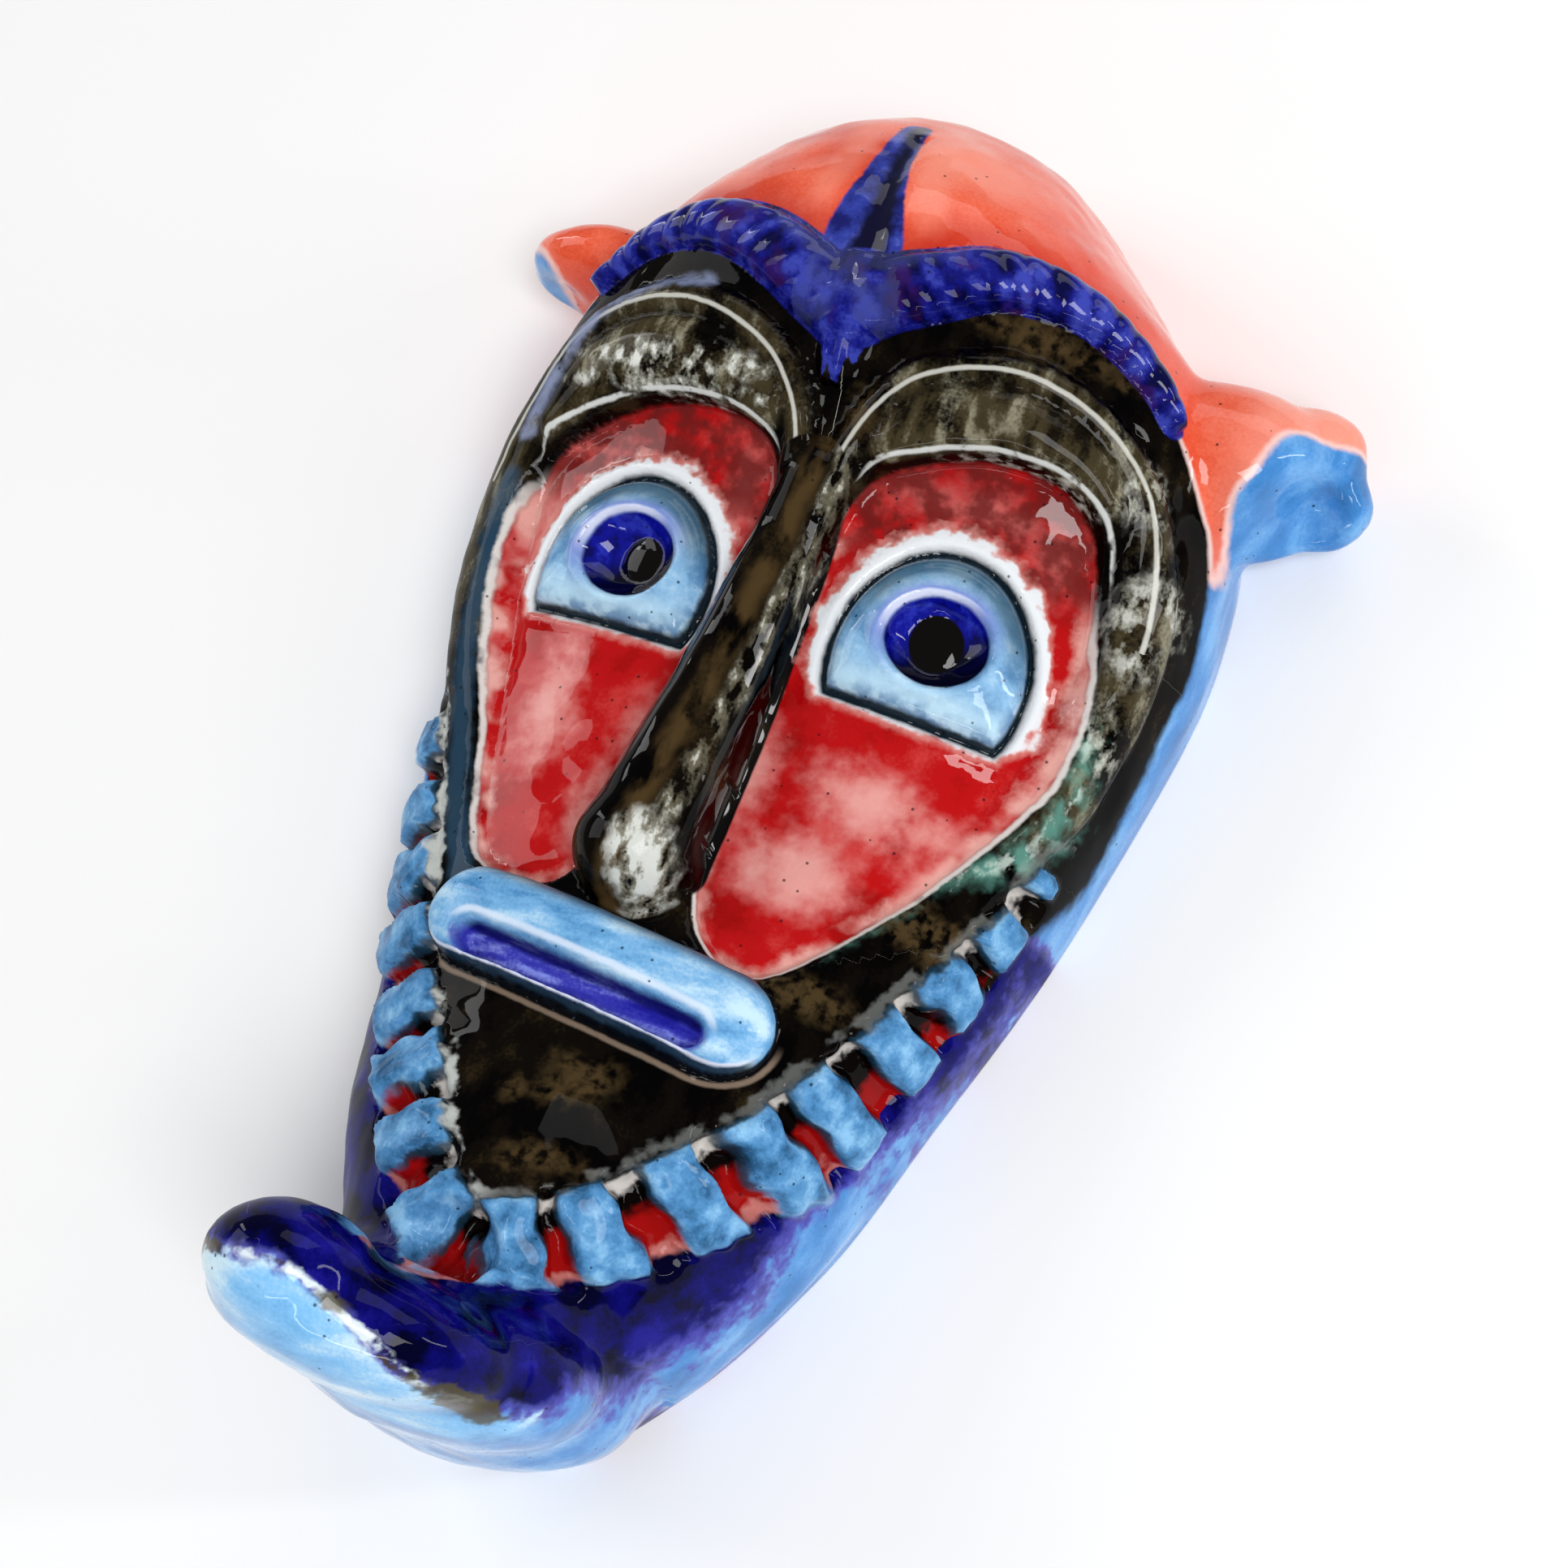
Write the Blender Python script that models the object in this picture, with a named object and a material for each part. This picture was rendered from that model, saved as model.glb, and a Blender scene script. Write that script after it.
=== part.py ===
"""Ceramic wall mask: one hollow, hand-built piece that lies on its back rim with its face up.

+X runs to the viewer's right, +Y to the crown and +Z out of the face. The back rim lies at Z = 0.
The form is free, so it is drawn in steps, which are shares of the mask's own length, width and height
and about a millimetre each at its real size. Its wall keeps a real thickness.
"""

import bmesh
import bpy
import numpy as np

# Driving sizes, in metres
MASK_LENGTH = 0.331
MASK_WIDTH = 0.180
CROWN_HEIGHT = 0.092
WALL = 0.009

# How finely the clay is worked, and the facets that are kept
CLAY_GRAIN = 0.0018
SMOOTHINGS = 14
ROOT_SMOOTHINGS = 70
OUTSIDE_TRIANGLES = 7600
HOLLOW_TRIANGLES = 1000
BASE_CUT = 0.002
SHARP_EDGE = 50.0

# Facets around the lumps before they are worked together
BODY_AROUND = 160
HOLLOW_AROUND = 96
LUMP_AROUND = 48
INNER_LUMP_AROUND = 32

# The size of one step along each axis
STEP = np.array([MASK_WIDTH / 180.0, MASK_LENGTH / 331.0, CROWN_HEIGHT / 92.0])

# Ends of the body, and how bluntly they round off
CHIN_Y = -162.0
CROWN_Y = 169.0
END_BLUNTNESS = 2.5

# Half width, height, squareness and bend to one side of the body's sections along its length
HALF_WIDTHS = [(-162, 31), (-140, 49), (-103, 61.5), (-62, 68), (-24, 76.3), (15, 83.8), (60, 91),
               (90, 92), (110, 88.5), (130, 80.5), (169, 70)]
HEIGHTS = [(-162, 92), (-140, 102), (-119, 94), (-80, 66), (-55, 57), (-20, 51), (25, 51), (65, 59),
           (90, 74), (112, 88), (140, 92), (169, 90)]
SQUARENESS = [(-162, 2.0), (-110, 2.1), (-50, 2.6), (40, 2.8), (90, 2.6), (130, 2.2), (169, 2.0)]
BEND = [(-162, -6.5), (-120, -5), (-80, -3.5), (-40, -1.6), (0, 0), (60, 2), (105, 1.5), (132, -2.5), (169, -4)]
DEPTH_BELOW = 40.0
RELIEF_STARTS = (3.0, 10.0)
RELIEF_REACH = (9.0, 3.0)

# Cheeks and eye sockets, sunk below the frame of the face
SOCKETS = {
    1: [(13, 58), (26, 66), (42, 70), (58, 68), (67, 57), (71, 33), (70, 12), (62, -8), (50, -28),
        (29, -51), (14, -47), (7, -30), (5, 0), (8, 35)],
    -1: [(-7, 57), (-15, 66), (-33, 68), (-51, 63), (-65, 52), (-69, 34), (-65, 12), (-58, -8),
         (-52, -26), (-43, -43), (-22, -44), (-14, -24), (-8, 0), (-5, 35)],
}
SOCKET_DEPTH = 4.0
SOCKET_EDGE = 1.6

# Brow rolls, from the bridge over each eye and down the outside of the cheek
BROWS = {
    1: [(6, 46), (8, 64), (15, 77), (25, 84), (41, 87.5), (57, 84.5), (69, 76), (75, 62), (77, 44),
        (75, 26), (71, 8), (64, -9), (54, -26)],
    -1: [(-2, 46), (-3, 65), (-9, 77), (-19, 84.5), (-36, 89), (-54, 86), (-66, 77), (-72, 62),
         (-74, 46), (-73, 28), (-69, 10), (-63, -8), (-56, -26)],
}
BROW_ROLL = (4.0, 4.2)
SIDE_ROLL = (6.5, 5.2)
BROW_FADES = (1.0, 0.8)
TURNS_TO_SIDE = (0.42, 0.62)

# Pad between brow and socket: rise, where it starts on the brow's roll, how narrow a gap it needs,
# and how far down it reaches
BROW_PAD = 6.5
PAD_STARTS = 0.7
PAD_GAP = (3.0, 9.0)
PAD_ABOVE = 38.0

# Eyes: centre and half sizes of the outline, height and slope of the lower lid, and centre of the iris
EYES = {
    1: ((38.8, 24.0), (22.3, 25.5), (12.5, -0.06), (39.5, 29.5)),
    -1: ((-36.5, 26.5), (22.0, 24.5), (16.5, -0.06), (-35.0, 32.0)),
}
EYEBALL = (13.0, 5.5)
EYE_LINE = (1.4, 1.5)
LID_ROLL = (5.5, 3.0, 2.0)
LID_RISE = 1.0
IRIS_BOWL = (12.5, 4.5, 6.5)

# Nose, from the bridge to the tip, with half width and rise at each
NOSE = ((2.3, 58.0), (-5.6, -33.5))
NOSE_HALF_WIDTHS = (7.2, 13.6)
NOSE_RISES = (6.5, 16.0)

# Mouth bar and its slot: centre line ends, half height, and rise or depth
MOUTH_BAR = ((-33.0, -56.5), (24.5, -63.5), 11.3, 8.5)
BAR_FULLNESS = 3.2
MOUTH_SLOT = ((-30.0, -62.8), (20.0, -68.8), 3.3, 6.5)
SLOT_EDGE = (1.0, -1.4)

# Rows of teeth along the jaw, from the chin up each side
TEETH = {
    1: [(-4, -123), (11, -117), (23, -108), (34, -95), (44, -82), (53, -67), (61.5, -51), (69, -36),
        (76, -21), (80, -8)],
    -1: [(-4, -123), (-14, -117), (-24, -105), (-35, -90), (-45.5, -76), (-55, -61), (-63, -46),
         (-70, -31), (-75, -17), (-78, -6)],
}
TOOTH_PITCH = 17.0
TOOTH_LENGTH = 11.0
FIRST_TOOTH = 10.0
TOOTH_EDGE = 1.0
TOOTH_RISE = 3.2
GAP_DEPTH = 4.0
ROW_HALF_WIDTH = 8.4
ROW_FADES = 3.0
JAW_SWELL = (9.0, 32.0, 2.0)
SWELLS_BELOW = (-30.0, -60.0)
TEETH_ABOVE = (21.0, 26.0)

# Braid across the forehead, and the frayed tassel at its middle
BRAIDS = {
    1: [(2, 92), (10, 97), (20, 101), (30, 105), (41, 106.5), (51, 105.5), (60, 102), (67, 97), (72, 91.5)],
    -1: [(0, 92), (-7, 95.5), (-14, 99.5), (-24, 104), (-36, 106.5), (-49, 105), (-58, 101), (-66, 96)],
}
BRAID_ROLL = (6.9, 4.8)
BRAID_TAPER = 0.78
TAPERS_LATE = 2.0
STRAND_PITCH = 6.6
STRAND_SLANT = 0.75
STRAND_CUT = 0.3
TASSEL = ((2.0, 93.0), (1.0, 80.0), 8.0, 4.0)
TASSEL_NARROWING = 0.75
FOREHEAD_GROOVE = ((0.0, 141.0), (1.0, 103.0), 4.0, 1.6)

# Ears: centre, half sizes and droop of the lumps, and the hollow pressed into each from below
EARS = {
    1: [((83.0, 95.5, 22.0), (26.0, 19.5, 20.0), 12.0), ((99.0, 104.5, 19.0), (12.5, 11.5, 12.0), 0.0),
        ((103.0, 96.5, 14.0), (12.0, 11.0, 11.0), 0.0)],
    -1: [((-76.0, 112.0, 22.0), (24.0, 9.5, 19.0), -6.0), ((-91.5, 114.5, 17.0), (11.0, 9.0, 11.0), 0.0)],
}
EAR_HOLLOWS = {1: ((101.0, 85.0, 26.0), 17.0, 11.0), -1: ((-92.0, 96.0, 22.0), 14.0, 8.0)}
HOLLOW_PRESS = (-0.15, 0.8, -0.6)

# Upturned chin: centre, half sizes and tilt of its lumps, from the jaw up to the tip
CHIN = [
    ((-9.0, -139.5, 28.0), (38.0, 23.5, 42.0), 0.0),
    ((-7.0, -142.0, 56.0), (36.0, 18.0, 34.0), 8.0),
    ((-11.0, -143.0, 84.0), (31.0, 13.0, 25.0), 22.0),
    ((-21.5, -138.0, 99.0), (17.5, 12.5, 17.0), 30.0),
]

# Where the joins at the chin's root are smoothed further: down the face, and below the chin's tip
ROOT_STARTS = (-92.0, -118.0)
ROOT_ENDS = (82.0, 56.0)


def clear_scene():
    """Removes every object of the scene."""
    for obj in list(bpy.data.objects):
        bpy.data.objects.remove(obj)


def ramp(start, end, value):
    """Goes smoothly from 0 at start to 1 at end."""
    share = np.clip((value - start) / (end - start), 0.0, 1.0)
    return share * share * (3.0 - 2.0 * share)


def along_stations(stations, y):
    """A smooth curve through the stations' values, read at y."""
    places, values = np.array(stations, float).T
    slopes = np.gradient(values, places)
    y = np.clip(y, places[0], places[-1])
    i = np.clip(np.searchsorted(places, y, side="right") - 1, 0, len(places) - 2)
    gap = places[i + 1] - places[i]
    t = (y - places[i]) / gap
    start = (2 * t**3 - 3 * t**2 + 1) * values[i] + (t**3 - 2 * t**2 + t) * gap * slopes[i]
    end = (3 * t**2 - 2 * t**3) * values[i + 1] + (t**3 - t**2) * gap * slopes[i + 1]
    return start + end


def smooth_line(points, closed=False, per_gap=6):
    """Points along a smooth curve through the given ones."""
    knots = np.array(points, float)
    before = knots[-1:] if closed else 2 * knots[:1] - knots[1:2]
    after = knots[:2] if closed else 2 * knots[-1:] - knots[-2:-1]
    knots = np.vstack([before, knots, after])
    t = (np.arange(per_gap) / per_gap)[:, None]
    made = [
        b + 0.5 * ((c - a) * t + (2 * a - 5 * b + 4 * c - d) * t**2 + (3 * b - a - 3 * c + d) * t**3)
        for a, b, c, d in zip(knots, knots[1:], knots[2:], knots[3:])
    ]
    return np.vstack(made + [knots[-2:-1]])


def beside_line(line, x, y):
    """How far along the line each point lies, how far to its left, and the line's length."""
    steps = np.diff(line, axis=0)
    lengths = np.maximum(np.linalg.norm(steps, axis=1), 1e-9)
    reached = np.concatenate([[0.0], np.cumsum(lengths)])
    nearest, along, side = np.full(x.shape, np.inf), np.zeros(x.shape), np.zeros(x.shape)
    for start, step, length, before in zip(line, steps, lengths, reached):
        dx, dy = x - start[0], y - start[1]
        t = np.clip((dx * step[0] + dy * step[1]) / length**2, 0.0, 1.0)
        away = np.hypot(dx - t * step[0], dy - t * step[1])
        closer = away < nearest
        nearest = np.where(closer, away, nearest)
        along = np.where(closer, before + t * length, along)
        side = np.where(closer, np.where(step[0] * dy > step[1] * dx, away, -away), side)
    return along, side, reached[-1]


def outside_shape(points, x, y):
    """Distance outside a closed smooth outline, negative inside it."""
    ring = smooth_line(points, closed=True)
    distance = np.abs(beside_line(ring, x, y)[1])
    inside = np.zeros(x.shape, bool)
    for (x0, y0), (x1, y1) in zip(ring, ring[1:]):
        crosses = (y0 > y) != (y1 > y)
        rise = y1 - y0 if y1 != y0 else 1e-9
        inside ^= crosses & (x < x0 + (y - y0) * (x1 - x0) / rise)
    return np.where(inside, -distance, distance)


def beside_segment(ends, x, y):
    """Share of the way along a segment, and the distance from it."""
    start, step = np.array(ends[0]), np.subtract(ends[1], ends[0])
    t = np.clip(((x - start[0]) * step[0] + (y - start[1]) * step[1]) / (step @ step), 0.0, 1.0)
    return t, np.hypot(x - start[0] - t * step[0], y - start[1] - t * step[1])


def roll(distance, half_width, rise, fullness=2.2):
    """Height of a rounded roll of clay at this distance from its centre line."""
    share = np.clip(np.abs(distance) / half_width, 0.0, 1.0)
    return rise * np.sqrt(1.0 - share**fullness)


def closing(y):
    """How open the body's section is: 1 at mid length and 0 at the chin and the crown."""
    share = np.clip(np.abs(2 * y - CROWN_Y - CHIN_Y) / (CROWN_Y - CHIN_Y), 0.0, 1.0)
    return (1.0 - share**END_BLUNTNESS) ** (1.0 / END_BLUNTNESS)


def body_height(x, y):
    """Height of the bare body over the plan, and 0 outside it."""
    power = along_stations(SQUARENESS, y)
    half_width = np.maximum(along_stations(HALF_WIDTHS, y) * closing(y), 1e-6)
    share = np.clip(np.abs(x - along_stations(BEND, y)) / half_width, 0.0, 1.0)
    return along_stations(HEIGHTS, y) * closing(y) * (1.0 - share**power) ** (1.0 / power)


def body_points(directions):
    """Points of the bare body in these directions of a unit sphere."""
    nx, ny, nz = directions.T
    y = (CROWN_Y + CHIN_Y) / 2 + (CROWN_Y - CHIN_Y) / 2 * ny
    half_width = np.maximum(along_stations(HALF_WIDTHS, y) * closing(y), 1e-6)
    above = nz > 0
    height = np.maximum(np.where(above, along_stations(HEIGHTS, y), DEPTH_BELOW) * closing(y), 1e-6)
    power = np.where(above, along_stations(SQUARENESS, y), 2.0)
    turn = np.arctan2(np.abs(nz), np.abs(nx))
    across, up = np.cos(turn), np.sin(turn)
    reach = ((across / half_width) ** power + (up / height) ** power) ** (-1.0 / power)
    x = along_stations(BEND, y) + np.sign(nx) * across * reach
    return np.stack([x, y, np.sign(nz) * up * reach], axis=1)


def lump_points(directions, centre, half_sizes, tilt):
    """Points of an ellipsoid whose left end is tilted up by this angle in degrees."""
    angle = np.radians(tilt)
    x, y, z = (directions * half_sizes).T
    turned = [x * np.cos(angle) + z * np.sin(angle), y, z * np.cos(angle) - x * np.sin(angle)]
    return np.stack(turned, axis=1) + centre


def socket_relief(side, x, y):
    """The sunk cheek with its brow roll, and the brow's pad between the two."""
    to_socket = outside_shape(SOCKETS[side], x, y)
    along, beside, length = beside_line(smooth_line(BROWS[side]), x, y)
    onto_side = ramp(*TURNS_TO_SIDE, along / length)
    half_width = BROW_ROLL[0] + (SIDE_ROLL[0] - BROW_ROLL[0]) * onto_side
    rise = BROW_ROLL[1] + (SIDE_ROLL[1] - BROW_ROLL[1]) * onto_side
    ridge = roll(beside, half_width, rise * ramp(*BROW_FADES, along / length))
    past_ridge = np.maximum(np.abs(beside) - PAD_STARTS * half_width, 0.0)
    past_socket = np.maximum(to_socket, 0.0)
    gap = np.maximum(past_ridge + past_socket, 1e-6)
    share = past_ridge / gap
    under_brow = (beside * side < 0) & (to_socket > 0) & (y > PAD_ABOVE)
    pad = BROW_PAD * np.sqrt(4 * share * (1 - share)) * ramp(*PAD_GAP, gap) * under_brow
    return np.maximum(ridge, pad) - SOCKET_DEPTH * ramp(SOCKET_EDGE, -SOCKET_EDGE, to_socket)


def outside_eye(side, x, y):
    """Distance outside the eye's outline, an oval cut off by the straight lower lid."""
    (cx, cy), (half_width, half_height), (lid_y, lid_slope), _ = EYES[side]
    u, v = (x - cx) / half_width, (y - cy) / half_height
    radius = np.maximum(np.hypot(u, v), 1e-6)
    oval = (radius - 1.0) * radius / np.maximum(np.hypot(u / half_width, v / half_height), 1e-6)
    return np.maximum(oval, lid_y + lid_slope * (x - cx) - y)


def eye_relief(side, x, y):
    """The lid's rim, the line round the eye, the bulging eyeball and the bowl of the iris."""
    outside = outside_eye(side, x, y)
    lid = LID_RISE * ramp(LID_ROLL[0], LID_ROLL[1], outside) * ramp(0.0, LID_ROLL[2], outside)
    line = -EYE_LINE[1] * np.exp(-((outside / EYE_LINE[0]) ** 2))
    inwards = np.clip(-outside / EYEBALL[0], 0.0, 1.0)
    ball = EYEBALL[1] * np.sqrt(1.0 - (1.0 - inwards) ** 2)
    iris = EYES[side][3]
    from_iris = np.hypot(x - iris[0], y - iris[1])
    outer, inner, depth = IRIS_BOWL
    bowl = -depth * np.sqrt(ramp(outer, inner, from_iris))
    return lid + line + ball + bowl


def nose_relief(x, y):
    """The long nose: a half-round roll that widens and rises to its tip."""
    t, away = beside_segment(NOSE, x, y)
    half_width = NOSE_HALF_WIDTHS[0] + (NOSE_HALF_WIDTHS[1] - NOSE_HALF_WIDTHS[0]) * t
    rise = NOSE_RISES[0] + (NOSE_RISES[1] - NOSE_RISES[0]) * t
    return roll(away, half_width, rise)


def mouth_relief(x, y):
    """The mouth's bar and the slot along its lower half."""
    _, away = beside_segment(MOUTH_BAR[:2], x, y)
    bar = roll(away, MOUTH_BAR[2], MOUTH_BAR[3], BAR_FULLNESS)
    _, away = beside_segment(MOUTH_SLOT[:2], x, y)
    return bar - MOUTH_SLOT[3] * ramp(SLOT_EDGE[0], SLOT_EDGE[1], away - MOUTH_SLOT[2])


def teeth_relief(side, x, y, z):
    """A row of square teeth with sunk gaps between them, and the jaw that swells outside the row."""
    along, beside, length = beside_line(smooth_line(TEETH[side]), x, y)
    outwards = -side * beside
    in_row = ramp(TOOTH_EDGE, -TOOTH_EDGE, np.abs(outwards) - ROW_HALF_WIDTH)
    in_row = in_row * ramp(length, length - ROW_FADES, along) * ramp(*TEETH_ABOVE, z)
    from_tooth = np.abs((along - FIRST_TOOTH + TOOTH_PITCH / 2) % TOOTH_PITCH - TOOTH_PITCH / 2)
    on_tooth = ramp(TOOTH_EDGE, -TOOTH_EDGE, from_tooth - TOOTH_LENGTH / 2)
    row = in_row * ((TOOTH_RISE + GAP_DEPTH) * on_tooth - GAP_DEPTH)
    inner, outer, swell = JAW_SWELL
    jaw = swell * np.sin(np.pi * np.clip((outwards - inner) / (outer - inner), 0.0, 1.0))
    return row + jaw * ramp(*SWELLS_BELOW, y)


def braid_relief(side, x, y):
    """One side of the twisted braid over the brow."""
    along, beside, length = beside_line(smooth_line(BRAIDS[side]), x, y)
    half_width = BRAID_ROLL[0] * (1.0 - BRAID_TAPER * (along / length) ** TAPERS_LATE)
    twist = np.abs(np.sin(np.pi * (along + side * STRAND_SLANT * beside) / STRAND_PITCH))
    return roll(beside, half_width, BRAID_ROLL[1]) * (1.0 - STRAND_CUT + STRAND_CUT * twist)


def tassel_relief(x, y):
    """The braid's frayed end between the brows, which narrows downwards."""
    t, away = beside_segment(TASSEL[:2], x, y)
    return roll(away, TASSEL[2] * (1.0 - TASSEL_NARROWING * t), TASSEL[3])


def forehead_groove(x, y):
    """The shallow groove from the crown down to the braid."""
    t, away = beside_segment(FOREHEAD_GROOVE[:2], x, y)
    return -FOREHEAD_GROOVE[3] * ramp(FOREHEAD_GROOVE[2] * (0.5 + t), 0.0, away)


def relief(x, y, z):
    """Height of all the modelling above the bare body."""
    sides = [socket_relief(side, x, y) + eye_relief(side, x, y) for side in EYES]
    face = sum(sides) + sum(teeth_relief(side, x, y, z) for side in TEETH) + forehead_groove(x, y)
    added = [nose_relief(x, y), tassel_relief(x, y)] + [braid_relief(side, x, y) for side in BRAIDS]
    over = np.maximum.reduce(added)
    return np.where(over > 0.0, np.maximum(face, over), face) + mouth_relief(x, y)


def sphere(around):
    """A unit sphere whose poles lie at the crown and at the chin."""
    made = bmesh.new()
    bmesh.ops.create_uvsphere(made, u_segments=around, v_segments=around, radius=1.0)
    for vert in made.verts:
        vert.co = (vert.co.x, vert.co.z, -vert.co.y)
    return made


def read_points(mesh):
    """The mesh's vertices as an array."""
    points = np.empty(len(mesh.vertices) * 3)
    mesh.vertices.foreach_get("co", points)
    return points.reshape(-1, 3)


def read_normals(mesh):
    """The mesh's vertex normals as an array."""
    normals = np.empty(len(mesh.vertices) * 3)
    mesh.vertex_normals.foreach_get("vector", normals)
    return normals.reshape(-1, 3)


def write_points(mesh, points):
    """Moves the mesh's vertices to these points."""
    mesh.vertices.foreach_set("co", points.ravel())
    mesh.update()


def shaped_sphere(around, shape):
    """A sphere whose points a function has moved, given in steps and stored in metres."""
    made = sphere(around)
    mesh = bpy.data.meshes.new("lump")
    made.to_mesh(mesh)
    made.free()
    write_points(mesh, shape(read_points(mesh)) * STEP)
    return mesh


def joined(meshes):
    """One mesh of all these, which are used up."""
    made = bmesh.new()
    for mesh in meshes:
        made.from_mesh(mesh)
        bpy.data.meshes.remove(mesh)
    mesh = bpy.data.meshes.new("clay")
    made.to_mesh(mesh)
    made.free()
    return mesh


def worked(mesh, kind, **settings):
    """The mesh after one modifier, with its settings."""
    obj = bpy.data.objects.new("clay", mesh)
    bpy.context.collection.objects.link(obj)
    modifier = obj.modifiers.new(kind.title(), kind)
    for name, value in settings.items():
        setattr(modifier, name, value)
    graph = bpy.context.evaluated_depsgraph_get()
    result = bpy.data.meshes.new_from_object(obj.evaluated_get(graph))
    bpy.data.objects.remove(obj)
    bpy.data.meshes.remove(mesh)
    return result


def kneaded(mesh, smoothings):
    """The lumps worked into one skin of even facets, with their joins smoothed over."""
    mesh = worked(mesh, "REMESH", mode="VOXEL", voxel_size=CLAY_GRAIN)
    return worked(mesh, "SMOOTH", factor=0.5, iterations=smoothings)


def settled(mesh):
    """The skin with the joins at the root of the chin smoothed further."""
    points = read_points(mesh)
    smoother = worked(mesh.copy(), "SMOOTH", factor=0.5, iterations=ROOT_SMOOTHINGS)
    _, y, z = (points / STEP).T
    share = ramp(*ROOT_STARTS, y) * ramp(*ROOT_ENDS, z)
    write_points(mesh, points + (read_points(smoother) - points) * share[:, None])
    bpy.data.meshes.remove(smoother)
    return mesh


def thinned(mesh, triangles):
    """The mesh with about this many triangles."""
    count = sum(len(face.vertices) - 2 for face in mesh.polygons)
    return worked(mesh, "DECIMATE", ratio=min(1.0, triangles / count))


def cut_below(mesh, height):
    """Cuts the mesh off flat at a height and closes it there."""
    made = bmesh.new()
    made.from_mesh(mesh)
    everything = made.verts[:] + made.edges[:] + made.faces[:]
    cut = bmesh.ops.bisect_plane(
        made, geom=everything, plane_co=(0, 0, height), plane_no=(0, 0, 1), clear_inner=True
    )
    edges = [item for item in cut["geom_cut"] if isinstance(item, bmesh.types.BMEdge)]
    bmesh.ops.holes_fill(made, edges=edges)
    bmesh.ops.triangulate(made, faces=made.faces[:])
    made.to_mesh(mesh)
    made.free()
    return mesh


def pressed_ears(points):
    """Presses the hollow of each ear into the clay from below."""
    for side, (centre, radius, depth) in EAR_HOLLOWS.items():
        push = np.array([side * HOLLOW_PRESS[0], *HOLLOW_PRESS[1:]])
        away = np.linalg.norm(points - centre, axis=1)
        points = points + depth * ramp(radius, 0.0, away)[:, None] * push
    return points


def outer_form():
    """The whole outside: body, ears and chin as one skin, with the modelling raised on it."""
    lumps = [shaped_sphere(BODY_AROUND, body_points)]
    for place, half_sizes, tilt in EARS[1] + EARS[-1] + CHIN:
        lumps.append(shaped_sphere(LUMP_AROUND, lambda d: lump_points(d, place, half_sizes, tilt)))
    mesh = settled(kneaded(joined(lumps), SMOOTHINGS))
    points = read_points(mesh) / STEP
    x, y, z = points.T
    on_body = ramp(*RELIEF_STARTS, z) * ramp(*RELIEF_REACH, z - body_height(x, y))
    points = points + read_normals(mesh) * (relief(x, y, z) * on_body)[:, None]
    write_points(mesh, pressed_ears(points) * STEP)
    return thinned(cut_below(mesh, -BASE_CUT), OUTSIDE_TRIANGLES)


def hollow_form():
    """The space inside: the body and the root of the chin, a wall's thickness smaller."""
    body = shaped_sphere(HOLLOW_AROUND, body_points)
    write_points(body, read_points(body) - read_normals(body) * WALL)
    place, half_sizes, tilt = CHIN[1]
    inner = np.array(half_sizes) - WALL / STEP
    chin = shaped_sphere(INNER_LUMP_AROUND, lambda d: lump_points(d, place, inner, tilt))
    return thinned(kneaded(joined([body, chin]), SMOOTHINGS), HOLLOW_TRIANGLES)


def floor_block():
    """A block that reaches from the rim's plane downwards, wider than the mask."""
    made = bmesh.new()
    bmesh.ops.create_cube(made, size=1.0)
    bmesh.ops.translate(made, verts=made.verts, vec=(0, 0, -0.5))
    mesh = bpy.data.meshes.new("floor_block")
    made.to_mesh(mesh)
    made.free()
    return mesh


def cutter(name, mesh):
    """An object that only cuts others."""
    obj = bpy.data.objects.new(name, mesh)
    bpy.context.collection.objects.link(obj)
    obj.hide_render = True
    obj.display_type = "WIRE"
    return obj


def glazed_clay():
    """Glossy blue glaze."""
    material = bpy.data.materials.new("glazed_clay")
    material.use_nodes = True
    shader = material.node_tree.nodes["Principled BSDF"]
    shader.inputs["Base Color"].default_value = (0.09, 0.20, 0.55, 1.0)
    shader.inputs["Roughness"].default_value = 0.12
    shader.inputs["Metallic"].default_value = 0.0
    return material


def centred(mesh):
    """The mesh moved so that its box is centred over the origin."""
    points = read_points(mesh)
    middle = (points.min(axis=0) + points.max(axis=0)) / 2
    write_points(mesh, points - [middle[0], middle[1], 0.0])
    return mesh


def hollowed(mesh):
    """The outside with the space inside taken away, cut off flat at the rim."""
    for name, tool in (("hollow", hollow_form()), ("below_rim", floor_block())):
        tool_object = cutter(name, tool)
        mesh = worked(mesh, "BOOLEAN", operation="DIFFERENCE", solver="EXACT", object=tool_object)
        bpy.data.objects.remove(tool_object)
    return mesh


def main():
    clear_scene()
    mesh = centred(hollowed(outer_form()))
    mesh.name = "mask"
    mesh.materials.append(glazed_clay())
    mesh.shade_smooth()
    mesh.set_sharp_from_angle(angle=np.radians(SHARP_EDGE))
    bpy.context.collection.objects.link(bpy.data.objects.new("mask", mesh))


main()
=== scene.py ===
"""Ceramic wall mask: the fine form and the glazes of one hollow, hand-built piece.

The form is drawn in steps of about a millimetre, +X to the viewer's right, +Y to the crown and +Z out
of the face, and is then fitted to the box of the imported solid. Each part of the face is a class that
raises its own relief and marks, for every point of the clay, how far that point lies from its edges.
The glaze reads those distances, so its colours follow the modelling as brushed glaze does.
"""

import itertools
import logging
import math
from dataclasses import dataclass, replace
from enum import Enum
from typing import NamedTuple

import bmesh
import bpy
import numpy as np
from mathutils import Matrix, Vector, noise


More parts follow.
